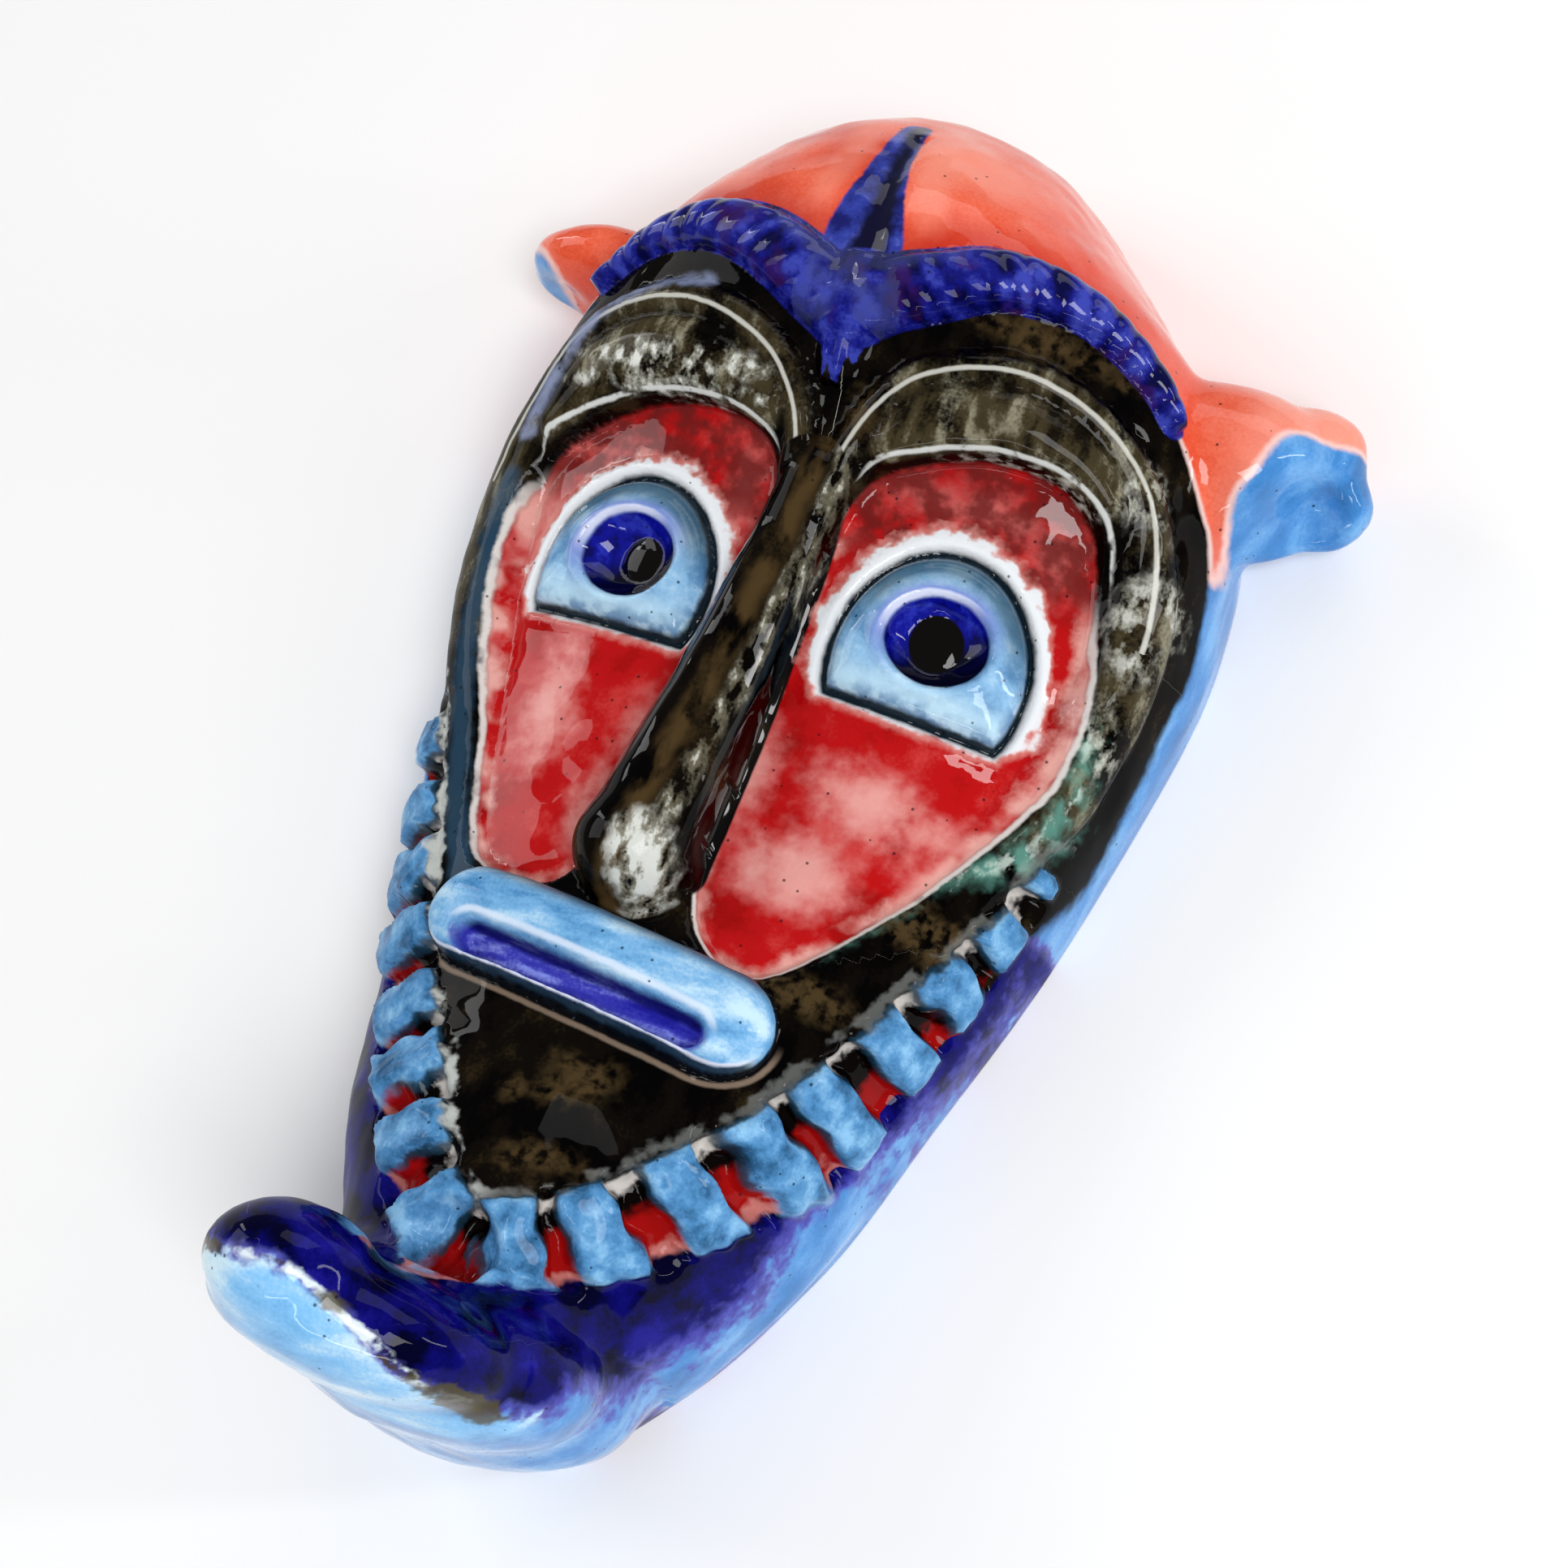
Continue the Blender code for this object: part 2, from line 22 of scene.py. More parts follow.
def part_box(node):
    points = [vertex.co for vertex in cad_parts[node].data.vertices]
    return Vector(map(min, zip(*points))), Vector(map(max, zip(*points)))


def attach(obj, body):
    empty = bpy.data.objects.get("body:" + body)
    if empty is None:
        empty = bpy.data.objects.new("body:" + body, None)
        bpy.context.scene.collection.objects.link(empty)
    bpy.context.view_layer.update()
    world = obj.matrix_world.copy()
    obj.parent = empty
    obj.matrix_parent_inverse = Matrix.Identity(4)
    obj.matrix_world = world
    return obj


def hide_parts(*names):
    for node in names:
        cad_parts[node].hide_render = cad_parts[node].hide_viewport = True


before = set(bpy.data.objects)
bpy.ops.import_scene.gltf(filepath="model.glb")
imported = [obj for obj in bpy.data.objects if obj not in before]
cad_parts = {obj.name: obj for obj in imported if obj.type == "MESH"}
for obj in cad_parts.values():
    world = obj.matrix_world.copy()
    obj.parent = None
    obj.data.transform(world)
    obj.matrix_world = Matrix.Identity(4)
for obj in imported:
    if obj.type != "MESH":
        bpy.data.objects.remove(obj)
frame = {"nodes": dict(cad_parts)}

Array = np.ndarray
Plan = tuple[float, float]
Place = tuple[float, float, float]
Stations = tuple[Plan, ...]
Fields = dict[str, Array]

MM = 0.001
FAR = 99.0
ROUND = (1.0, 1.0, 1.0)

log = logging.getLogger("ceramic_wall_mask")


class Side(Enum):
    """A side of the face, as the viewer sees it."""

    LEFT = -1
    RIGHT = 1


def ramp(start: float, end: float, value: Array) -> Array:
    """Goes smoothly from 0 at start to 1 at end.

    Args:
        start: Value where the ramp begins.
        end: Value where it is complete, above or below start.
        value: Where to read it.

    Returns:
        The share at each value.
    """
    share = np.clip((value - start) / (end - start), 0.0, 1.0)
    return share * share * (3.0 - 2.0 * share)


def along_stations(stations: Stations, y: Array) -> Array:
    """Reads a smooth curve through the stations' values.

    Args:
        stations: Pairs of place and value, in rising order of place.
        y: Where to read the curve.

    Returns:
        The value at each y.
    """
    places, values = np.array(stations, float).T
    slopes = np.gradient(values, places)
    y = np.clip(y, places[0], places[-1])
    i = np.clip(np.searchsorted(places, y, side="right") - 1, 0, len(places) - 2)
    gap = places[i + 1] - places[i]
    t = (y - places[i]) / gap
    start = (2 * t**3 - 3 * t**2 + 1) * values[i] + (t**3 - 2 * t**2 + t) * gap * slopes[i]
    end = (3 * t**2 - 2 * t**3) * values[i + 1] + (t**3 - t**2) * gap * slopes[i + 1]
    return start + end


def roll(
    distance: Array, half_width: Array | float, rise: Array | float, fullness: float = 2.2
) -> Array:
    """Height of a rounded roll of clay.

    Args:
        distance: Distance from its centre line.
        half_width: Where the roll ends.
        rise: Its height in the middle.
        fullness: How squarely it stands; 2 is a half ellipse.

    Returns:
        The height at each distance.
    """
    share = np.clip(np.abs(distance) / half_width, 0.0, 1.0)
    return rise * np.sqrt(1.0 - share**fullness)


def beside_segment(ends: tuple[Plan, Plan], x: Array, y: Array) -> tuple[Array, Array]:
    """Places points against a straight segment.

    Args:
        ends: The two ends of the segment.
        x: Places across the face.
        y: Places along the face.

    Returns:
        The share of the way along the segment, and the distance from it.
    """
    start, step = np.array(ends[0]), np.subtract(ends[1], ends[0])
    t = np.clip(((x - start[0]) * step[0] + (y - start[1]) * step[1]) / (step @ step), 0.0, 1.0)
    return t, np.hypot(x - start[0] - t * step[0], y - start[1] - t * step[1])


class Beside(NamedTuple):
    """Where points lie against a line: how far along it, how far to its left, and its length."""

    along: Array
    left: Array
    length: float


@dataclass(frozen=True)
class Trace:
    """A smooth line through a few points of the plan, open or closed."""

    points: Stations
    closed: bool = False
    per_gap: int = 6

    def line(self) -> Array:
        """Points along the smooth line.

        Returns:
            One point a row.
        """
        knots = np.array(self.points, float)
        before = knots[-1:] if self.closed else 2 * knots[:1] - knots[1:2]
        after = knots[:2] if self.closed else 2 * knots[-1:] - knots[-2:-1]
        knots = np.vstack([before, knots, after])
        t = (np.arange(self.per_gap) / self.per_gap)[:, None]
        made = [
            b + 0.5 * ((c - a) * t + (2 * a - 5 * b + 4 * c - d) * t**2 + (3 * b - a - 3 * c + d) * t**3)
            for a, b, c, d in zip(knots, knots[1:], knots[2:], knots[3:])
        ]
        return np.vstack(made + [knots[-2:-1]])

    def beside(self, x: Array, y: Array) -> Beside:
        """Places points against the line.

        Args:
            x: Places across the face.
            y: Places along the face.

        Returns:
            Where each point lies.
        """
        line = self.line()
        steps = np.diff(line, axis=0)
        lengths = np.maximum(np.linalg.norm(steps, axis=1), 1e-9)
        reached = np.concatenate([[0.0], np.cumsum(lengths)])
        nearest, along, left = np.full(x.shape, np.inf), np.zeros(x.shape), np.zeros(x.shape)
        for start, step, length, before in zip(line, steps, lengths, reached):
            dx, dy = x - start[0], y - start[1]
            t = np.clip((dx * step[0] + dy * step[1]) / length**2, 0.0, 1.0)
            away = np.hypot(dx - t * step[0], dy - t * step[1])
            closer = away < nearest
            nearest = np.where(closer, away, nearest)
            along = np.where(closer, before + t * length, along)
            left = np.where(closer, np.where(step[0] * dy > step[1] * dx, away, -away), left)
        return Beside(along, left, reached[-1])

    def away(self, x: Array, y: Array) -> Array:
        """Distance from the line, on either side of it."""
        return np.abs(self.beside(x, y).left)

    def outside(self, x: Array, y: Array) -> Array:
        """Distance outside a closed line, negative inside it.

        Args:
            x: Places across the face.
            y: Places along the face.

        Returns:
            The signed distance of each point.
        """
        distance = self.away(x, y)
        inside = np.zeros(x.shape, bool)
        ring = self.line()
        for (x0, y0), (x1, y1) in zip(ring, ring[1:]):
            crosses = (y0 > y) != (y1 > y)
            rise = y1 - y0 if y1 != y0 else 1e-9
            inside ^= crosses & (x < x0 + (y - y0) * (x1 - x0) / rise)
        return np.where(inside, -distance, distance)


@dataclass(frozen=True)
class Body:
    """The bare shell of the mask, whose sections change from the chin to the crown."""

    chin_y: float = -162.0
    crown_y: float = 169.0
    bluntness: float = 2.5
    depth_below: float = 40.0
    around: int = 160
    half_widths: Stations = (
        (-162, 31), (-140, 49), (-103, 61.5), (-62, 68), (-24, 76.3), (15, 83.8), (60, 91), (90, 92),
        (110, 88.5), (130, 80.5), (169, 70),
    )
    heights: Stations = (
        (-162, 92), (-140, 102), (-119, 94), (-80, 66), (-55, 57), (-20, 51), (25, 51), (65, 59),
        (90, 74), (112, 88), (140, 92), (169, 90),
    )
    squareness: Stations = (
        (-162, 2.0), (-110, 2.1), (-50, 2.6), (40, 2.8), (90, 2.6), (130, 2.2), (169, 2.0),
    )
    bend: Stations = (
        (-162, -6.5), (-120, -5), (-80, -3.5), (-40, -1.6), (0, 0), (60, 2), (105, 1.5), (132, -2.5),
        (169, -4),
    )

    def closing(self, y: Array) -> Array:
        """How open the section is: 1 at mid length and 0 at the chin and the crown.

        Args:
            y: Places along the face.

        Returns:
            The share at each y.
        """
        middle = self.crown_y + self.chin_y
        share = np.clip(np.abs(2 * y - middle) / (self.crown_y - self.chin_y), 0.0, 1.0)
        return (1.0 - share**self.bluntness) ** (1.0 / self.bluntness)

    def half_width(self, y: Array) -> Array:
        """Half width of the section at y."""
        return np.maximum(along_stations(self.half_widths, y) * self.closing(y), 1e-6)

    def height(self, x: Array, y: Array) -> Array:
        """Height of the bare shell over the plan, and 0 outside it.

        Args:
            x: Places across the face.
            y: Places along the face.

        Returns:
            The height at each point.
        """
        power = along_stations(self.squareness, y)
        share = np.clip(np.abs(x - along_stations(self.bend, y)) / self.half_width(y), 0.0, 1.0)
        return along_stations(self.heights, y) * self.closing(y) * (1.0 - share**power) ** (1.0 / power)

    def points(self, directions: Array) -> Array:
        """Points of the shell in these directions of a unit sphere.

        Args:
            directions: Unit vectors, with the poles along Y.

        Returns:
            One point for each direction.
        """
        nx, ny, nz = directions.T
        y = (self.crown_y + self.chin_y) / 2 + (self.crown_y - self.chin_y) / 2 * ny
        above = nz > 0
        height = np.where(above, along_stations(self.heights, y), self.depth_below) * self.closing(y)
        power = np.where(above, along_stations(self.squareness, y), 2.0)
        turn = np.arctan2(np.abs(nz), np.abs(nx))
        across, up = np.cos(turn), np.sin(turn)
        sides = (across / self.half_width(y)) ** power + (up / np.maximum(height, 1e-6)) ** power
        reach = sides ** (-1.0 / power)
        x = along_stations(self.bend, y) + np.sign(nx) * across * reach
        return np.stack([x, y, np.sign(nz) * up * reach], axis=1)

    def build(self) -> bpy.types.Mesh:
        """A sphere drawn out to the shell.

        Returns:
            The shell.
        """
        made = bmesh.new()
        bmesh.ops.create_uvsphere(made, u_segments=self.around, v_segments=self.around, radius=1.0)
        turn = Matrix.Rotation(-math.pi / 2, 3, "X")
        bmesh.ops.rotate(made, cent=(0, 0, 0), matrix=turn, verts=made.verts)
        mesh = mesh_of(made, "shell")
        write_points(mesh, self.points(read_points(mesh)))
        return mesh


@dataclass(frozen=True)
class Lump:
    """An oval lump of clay whose left end is tilted up by some degrees."""

    centre: Place
    half_sizes: Place
    tilt: float = 0.0
    around: int = 48

    def build(self, thinner: float = 0.0) -> bpy.types.Mesh:
        """The lump as a mesh.

        Args:
            thinner: How much less it measures all round.

        Returns:
            The mesh, in its place.
        """
        made = bmesh.new()
        bmesh.ops.create_uvsphere(made, u_segments=self.around, v_segments=self.around, radius=1.0)
        sizes = [size - thinner for size in self.half_sizes]
        bmesh.ops.scale(made, vec=sizes, verts=made.verts)
        turn = Matrix.Rotation(math.radians(self.tilt), 3, "Y")
        bmesh.ops.rotate(made, cent=(0, 0, 0), matrix=turn, verts=made.verts)
        bmesh.ops.translate(made, vec=self.centre, verts=made.verts)
        return mesh_of(made, "lump")


@dataclass(frozen=True)
class Cheek:
    """One sunk, red cheek with its eye socket, under a rolled brow and a padded lid."""

    side: Side
    socket: Trace
    brow: Trace
    depth: float = 4.0
    edge: float = 1.6
    brow_roll: Plan = (4.0, 4.2)
    side_roll: Plan = (6.5, 5.2)
    pad_rise: float = 6.5
    turns_to_side: Plan = (0.42, 0.62)
    fades: Plan = (1.0, 0.8)
    pad_above: float = 38.0
    pad_gap: Plan = (3.0, 9.0)
    pad_starts: float = 0.7
    brow_ends: Plan = (0.64, 0.52)

    def roll_sizes(self, share: Array) -> tuple[Array, Array]:
        """Half width and rise of the roll, from the brow to the side of the cheek.

        Args:
            share: Share of the way along the brow.

        Returns:
            The half width and the rise there.
        """
        onto_side = ramp(*self.turns_to_side, share)
        half_width = self.brow_roll[0] + (self.side_roll[0] - self.brow_roll[0]) * onto_side
        rise = self.brow_roll[1] + (self.side_roll[1] - self.brow_roll[1]) * onto_side
        return half_width, rise * ramp(*self.fades, share)

    def parts(self, x: Array, y: Array) -> tuple[Array, Array, Array, Array, Beside]:
        """Works out the pieces of the relief.

        Args:
            x: Places across the face.
            y: Places along the face.

        Returns:
            The distance outside the socket, the ridge's height, the pad's height, the pad's share
            from the ridge to the socket, and the places beside the brow.
        """
        to_socket = self.socket.outside(x, y)
        beside = self.brow.beside(x, y)
        half_width, rise = self.roll_sizes(beside.along / beside.length)
        ridge = roll(beside.left, half_width, rise)
        past_ridge = np.maximum(np.abs(beside.left) - self.pad_starts * half_width, 0.0)
        gap = np.maximum(past_ridge + np.maximum(to_socket, 0.0), 1e-6)
        share = past_ridge / gap
        under_brow = (beside.left * self.side.value < 0) & (to_socket > 0) & (y > self.pad_above)
        pad = self.pad_rise * np.sqrt(4 * share * (1 - share)) * ramp(*self.pad_gap, gap) * under_brow
        return to_socket, ridge, pad, share * under_brow, beside

    def relief(self, x: Array, y: Array) -> Array:
        """Height of the roll and the pad above the sunk cheek."""
        to_socket, ridge, pad, _, _ = self.parts(x, y)
        return np.maximum(ridge, pad) - self.depth * ramp(self.edge, -self.edge, to_socket)

    def fields(self, x: Array, y: Array) -> Fields:
        """Distances that the glaze follows.

        Args:
            x: Places across the face.
            y: Places along the face.

        Returns:
            The distances, by name.
        """
        to_socket, _, _, share, beside = self.parts(x, y)
        on_brow = ramp(*self.brow_ends, beside.along / beside.length)
        return {
            "cheek": to_socket,
            # The brow roll's crest line, where the glaze carries a painted highlight.
            "ridge": np.where(on_brow > 0.0, beside.left, FAR),
            "pad_share": -share,
        }


@dataclass(frozen=True)
class Eye:
    """One bulging eye: an oval cut off by its straight lower lid, with the bowl of its iris."""

    centre: Plan
    half_sizes: Plan
    lower_lid: Plan
    iris: Plan
    pupil: Plan
    pupil_radius: float
    iris_radius: float = 11.4
    iris_squash: float = 1.18
    ball: Plan = (13.0, 5.5)
    line: Plan = (1.4, 1.5)
    lid_roll: Plan = (5.5, 1.0)
    lid_inner: Plan = (3.0, 2.0)
    fold_above: Plan = (-12.0, -20.0)
    reach: float = 8.0
    bowl: Place = (12.5, 4.5, 6.5)
    fold: Place = (3.6, 0.9, 0.55)
    rim: Place = (13.4, 1.5, 0.6)
    bead_rise: float = 1.6
    lit_from: Plan = (-0.42, 0.91)

    def outside(self, x: Array, y: Array) -> Array:
        """Distance outside the eye's outline, negative inside it.

        Args:
            x: Places across the face.
            y: Places along the face.

        Returns:
            The signed distance of each point.
        """
        (cx, cy), (half_width, half_height) = self.centre, self.half_sizes
        u, v = (x - cx) / half_width, (y - cy) / half_height
        radius = np.maximum(np.hypot(u, v), 1e-6)
        oval = (radius - 1.0) * radius / np.maximum(np.hypot(u / half_width, v / half_height), 1e-6)
        return np.maximum(oval, self.below_lid(x, y))

    def below_lid(self, x: Array, y: Array) -> Array:
        """Distance below the lower lid's edge, negative above it."""
        return self.lower_lid[0] + self.lower_lid[1] * (x - self.centre[0]) - y

    def from_iris(self, x: Array, y: Array) -> Array:
        """Distance from the middle of the iris, which is a little wider than high."""
        return np.hypot(x - self.iris[0], (y - self.iris[1]) * self.iris_squash)

    def relief(self, x: Array, y: Array) -> Array:
        """The lid's rim, the line round the eye, the eyeball with its fold, and the iris's bowl.

        Args:
            x: Places across the face.
            y: Places along the face.

        Returns:
            The height at each point.
        """
        outside = self.outside(x, y)
        lid = self.lid_roll[1] * ramp(self.lid_roll[0], self.lid_inner[0], outside)
        lid = lid * ramp(0.0, self.lid_inner[1], outside)
        line = -self.line[1] * np.exp(-((outside / self.line[0]) ** 2))
        inwards = np.clip(-outside / self.ball[0], 0.0, 1.0)
        ball = self.ball[1] * np.sqrt(1.0 - (1.0 - inwards) ** 2)
        fold = -self.fold[2] * np.exp(-(((outside + self.fold[0]) / self.fold[1]) ** 2))
        fold = fold * ramp(*self.fold_above, self.below_lid(x, y))
        from_iris = self.from_iris(x, y)
        outer, inner, depth = self.bowl
        bowl = -depth * np.sqrt(ramp(outer, inner, from_iris))
        rim = self.rim[2] * np.exp(-(((from_iris - self.rim[0]) / self.rim[1]) ** 2))
        from_pupil = np.hypot(x - self.pupil[0], y - self.pupil[1])
        bead = roll(from_pupil, self.pupil_radius, self.bead_rise, fullness=2.0)
        return lid + line + ball + (fold + rim) * (outside < 0) + bowl + bead

    def fields(self, x: Array, y: Array) -> Fields:
        """Distances that the glaze follows.

        Args:
            x: Places across the face.
            y: Places along the face.

        Returns:
            The distances, by name.
        """
        from_iris = self.from_iris(x, y)
        towards = (x - self.iris[0]) * self.lit_from[0] + (y - self.iris[1]) * self.lit_from[1]
        near = self.outside(x, y) < self.reach
        return {
            "eye": self.outside(x, y),
            "below_lid": np.where(near, self.below_lid(x, y), FAR),
            "iris": from_iris - self.iris_radius,
            # Which side of the iris faces the light, for its painted highlight and shade.
            "iris_shade": np.where(near, -towards / np.maximum(from_iris, 3.0), FAR),
            "pupil": np.hypot(x - self.pupil[0], y - self.pupil[1]) - self.pupil_radius,
        }


@dataclass(frozen=True)
class Nose:
    """The long nose: a half-round roll that widens and rises to its tip."""

    ends: tuple[Plan, Plan] = ((2.3, 58.0), (-5.6, -33.5))
    half_widths: Plan = (7.2, 13.6)
    rises: Plan = (6.5, 16.0)
    tip_mark: Plan = (-1.0, -38.0)
    tip_sizes: Plan = (6.0, 8.0)
    reach: float = 6.0

    def relief(self, x: Array, y: Array) -> Array:
        """Height of the nose.

        Args:
            x: Places across the face.
            y: Places along the face.

        Returns:
            The height at each point.
        """
        t, away = beside_segment(self.ends, x, y)
        half_width = self.half_widths[0] + (self.half_widths[1] - self.half_widths[0]) * t
        return roll(away, half_width, self.rises[0] + (self.rises[1] - self.rises[0]) * t)

    def fields(self, x: Array, y: Array) -> Fields:
        """Distances that the glaze follows.

        Args:
            x: Places across the face.
            y: Places along the face.

        Returns:
            The distances, by name.
        """
        t, away = beside_segment(self.ends, x, y)
        half_width = self.half_widths[0] + (self.half_widths[1] - self.half_widths[0]) * t
        (x0, y0), (x1, y1) = self.ends
        right = ((x - x0) * (y0 - y1) + (y - y0) * (x1 - x0)) / math.hypot(x1 - x0, y1 - y0)
        near = away < half_width + self.reach
        return {
            "nose": away - half_width,
            "nose_right": np.where(near, right, -FAR),
            "nose_tip": np.where(near, Patch(self.tip_mark, self.tip_sizes).outside(x, y), FAR),
        }


@dataclass(frozen=True)
class Mouth:
    """The mouth: a smooth bar with a slot along its lower half."""

    bar: tuple[Plan, Plan] = ((-33.0, -56.5), (24.5, -63.5))
    half_height: float = 11.3
    rise: float = 8.5
    slot: tuple[Plan, Plan] = ((-30.0, -62.8), (20.0, -68.8))
    slot_half_height: float = 3.3
    slot_depth: float = 7.0
    slot_edge: Plan = (0.7, -1.2)
    bar_fullness: float = 3.2
    reach: float = 8.0

    def relief(self, x: Array, y: Array) -> Array:
        """Height of the bar less the slot.

        Args:
            x: Places across the face.
            y: Places along the face.

        Returns:
            The height at each point.
        """
        _, away = beside_segment(self.bar, x, y)
        bar = roll(away, self.half_height, self.rise, self.bar_fullness)
        _, away = beside_segment(self.slot, x, y)
        return bar - self.slot_depth * ramp(*self.slot_edge, away - self.slot_half_height)

    def fields(self, x: Array, y: Array) -> Fields:
        """Distances that the glaze follows.

        Args:
            x: Places across the face.
            y: Places along the face.

        Returns:
            The distances, by name.
        """
        _, away = beside_segment(self.bar, x, y)
        _, from_slot = beside_segment(self.slot, x, y)
        (x0, y0), (x1, y1) = self.bar
        above = ((y - y0) * (x1 - x0) - (x - x0) * (y1 - y0)) / math.hypot(x1 - x0, y1 - y0)
        mouth = away - self.half_height
        return {
            "mouth": mouth,
            "slot": from_slot - self.slot_half_height,
            "mouth_above": np.where(mouth < self.reach, above, FAR),
        }


@dataclass(frozen=True)
class ToothRow:
    """A row of square teeth from the chin up one side of the jaw, with sunk gaps between them."""

    side: Side
    trace: Trace
    pitch: float = 17.0
    length: float = 11.0
    first: float = 10.0
    rise: float = 2.8
    gap_depth: float = 3.8
    half_width: float = 8.4
    softness: float = 1.5
    swell: Place = (9.0, 32.0, 2.0)
    swells_below: Plan = (-30.0, -60.0)
    above: Plan = (21.0, 26.0)
    flute: float = 0.3
    flute_pitch: float = 6.5
    flute_slant: float = 0.12
    ends_over: float = 3.0
    reach: float = 12.0
    ragged: Place = (0.5, 0.9, 0.37)
    wanders: tuple[Plan, Plan] = ((0.9, 0.61), (0.6, 0.7))
    wander_drift: float = 0.23
    end_mark: Plan = (1.5, 4.0)

    def places(self, x: Array, y: Array) -> tuple[Array, Array, Array, float]:
        """Places points against the row.

        Args:
            x: Places across the face.
            y: Places along the face.

        Returns:
            The distance along the row and outwards from its line, the distance from the middle of
            the nearest tooth, and the row's length.
        """
        along, left, length = self.trace.beside(x, y)
        outwards = -self.side.value * left
        (size, pace), (drift, drift_pace) = self.wanders
        wander = size * np.sin(along * pace + self.side.value)
        wander = wander + drift * np.sin(outwards * drift_pace + along * self.wander_drift)
        from_tooth = (along + wander - self.first + self.pitch / 2) % self.pitch - self.pitch / 2
        return along, outwards, from_tooth, length

    def relief(self, x: Array, y: Array, z: Array) -> Array:
        """Height of the teeth above the gaps, and the swell of the jaw outside them.

        Args:
            x: Places across the face.
            y: Places along the face.
            z: Heights above the rim.

        Returns:
            The height at each point.
        """
        along, outwards, from_tooth, length = self.places(x, y)
        ragged = self.ragged[0] * np.sin(along * self.ragged[1]) * np.sin(along * self.ragged[2] + 1.0)
        in_row = ramp(self.softness, -self.softness, np.abs(outwards) + ragged - self.half_width)
        in_row = in_row * ramp(length, length - self.ends_over, along) * ramp(*self.above, z)
        on_tooth = ramp(self.softness, -self.softness, np.abs(from_tooth) - self.length / 2)
        turn = 2.0 * np.pi * (from_tooth + self.flute_slant * outwards) / self.flute_pitch
        flute = self.flute * np.cos(turn)
        row = in_row * ((self.rise + self.gap_depth + flute) * on_tooth - self.gap_depth)
        inner, outer, swell = self.swell
        jaw = swell * np.sin(np.pi * np.clip((outwards - inner) / (outer - inner), 0.0, 1.0))
        return row + jaw * ramp(*self.swells_below, y)

    def fields(self, x: Array, y: Array, z: Array) -> Fields:
        """Distances that the glaze follows.

        Args:
            x: Places across the face.
            y: Places along the face.
            z: Heights above the rim.

        Returns:
            The distances, by name.
        """
        along, outwards, from_tooth, length = self.places(x, y)
        beyond_end = np.maximum(along - length + self.end_mark[0], 0.0) * self.end_mark[1]
        too_low = self.reach * (1.0 - ramp(*self.above, z))
        row = np.abs(outwards) - self.half_width + beyond_end + too_low
        near = row < self.reach
        return {
            "row": row,
            "tooth": np.maximum(row, np.abs(from_tooth) - self.length / 2),
            "row_out": np.where(near, -outwards, FAR),
        }


@dataclass(frozen=True)
class Braid:
    """One side of the twisted braid over the brow."""

    side: Side
    trace: Trace
    half_width: float = 7.4
    rise: float = 4.8
    taper: float = 0.78
    pitch: float = 5.6
    slant: float = 0.6
    cut: float = 0.11
    wander: Plan = (0.8, 0.31)
    reach: float = 6.0

    def places(self, x: Array, y: Array) -> tuple[Array, Array, Array]:
        """Places points against the braid.

        Args:
            x: Places across the face.
            y: Places along the face.

        Returns:
            The distance left of its line, its half width there, and how high on a strand, 0 to 1.
        """
        along, left, length = self.trace.beside(x, y)
        half_width = self.half_width * (1.0 - self.taper * (along / length) ** 2)
        wander = self.wander[0] * np.sin(along * self.wander[1] + self.side.value)
        turn = np.pi * (along + wander + self.side.value * self.slant * left) / self.pitch
        return left, half_width, np.abs(np.sin(turn))

    def relief(self, x: Array, y: Array) -> Array:
        """Height of the braid, cut by its strands."""
        left, half_width, strand = self.places(x, y)
        return roll(left, half_width, self.rise) * (1.0 - self.cut + self.cut * strand)

    def fields(self, x: Array, y: Array) -> Fields:
        """Distances that the glaze follows.

        Args:
            x: Places across the face.
            y: Places along the face.

        Returns:
            The distances, by name.
        """
        left, half_width, strand = self.places(x, y)
        outside = np.abs(left) - half_width
        upper = self.side.value * left
        return {
            "braid": outside,
            "strand": np.where(outside < self.reach, -strand, FAR),
            "braid_up": np.where(outside < self.reach, -upper, FAR),
        }


@dataclass(frozen=True)
class Tassel:
    """The frayed end of the braid between the brows, which narrows downwards."""

    ends: tuple[Plan, Plan] = ((2.0, 95.0), (1.0, 80.0))
    half_width: float = 9.5
    rise: float = 4.0
    narrowing: float = 0.62
    fray_pitch: float = 3.4
    fray_reach: float = 4.0
    fray_depth: float = 0.3
    fray_from: float = 0.35
    reach: float = 3.0

    def relief(self, x: Array, y: Array) -> Array:
        """Height of the tassel, with its frayed ends.

        Args:
            x: Places across the face.
            y: Places along the face.

        Returns:
            The height at each point.
        """
        t, away = beside_segment(self.ends, x, y)
        height = roll(away, self.half_width * (1.0 - self.narrowing * t), self.rise)
        return height * (1.0 - self.fray_depth * self.fray(x))

    def fray(self, x: Array) -> Array:
        """How far each place lies from the gaps between the strands, 0 to 1."""
        return np.abs(np.sin(np.pi * (x - self.ends[0][0]) / self.fray_pitch))

    def fields(self, x: Array, y: Array) -> Fields:
        """Distances that the glaze follows.

        Args:
            x: Places across the face.
            y: Places along the face.

        Returns:
            The distances, by name.
        """
        t, away = beside_segment(self.ends, x, y)
        outside = away - self.half_width * (1.0 - self.narrowing * t)
        fray = self.fray(x)
        return {
            "braid": outside + self.fray_reach * fray * ramp(self.fray_from, 1.0, t),
            "strand": np.where(outside < self.reach, fray - 1.0, FAR),
        }


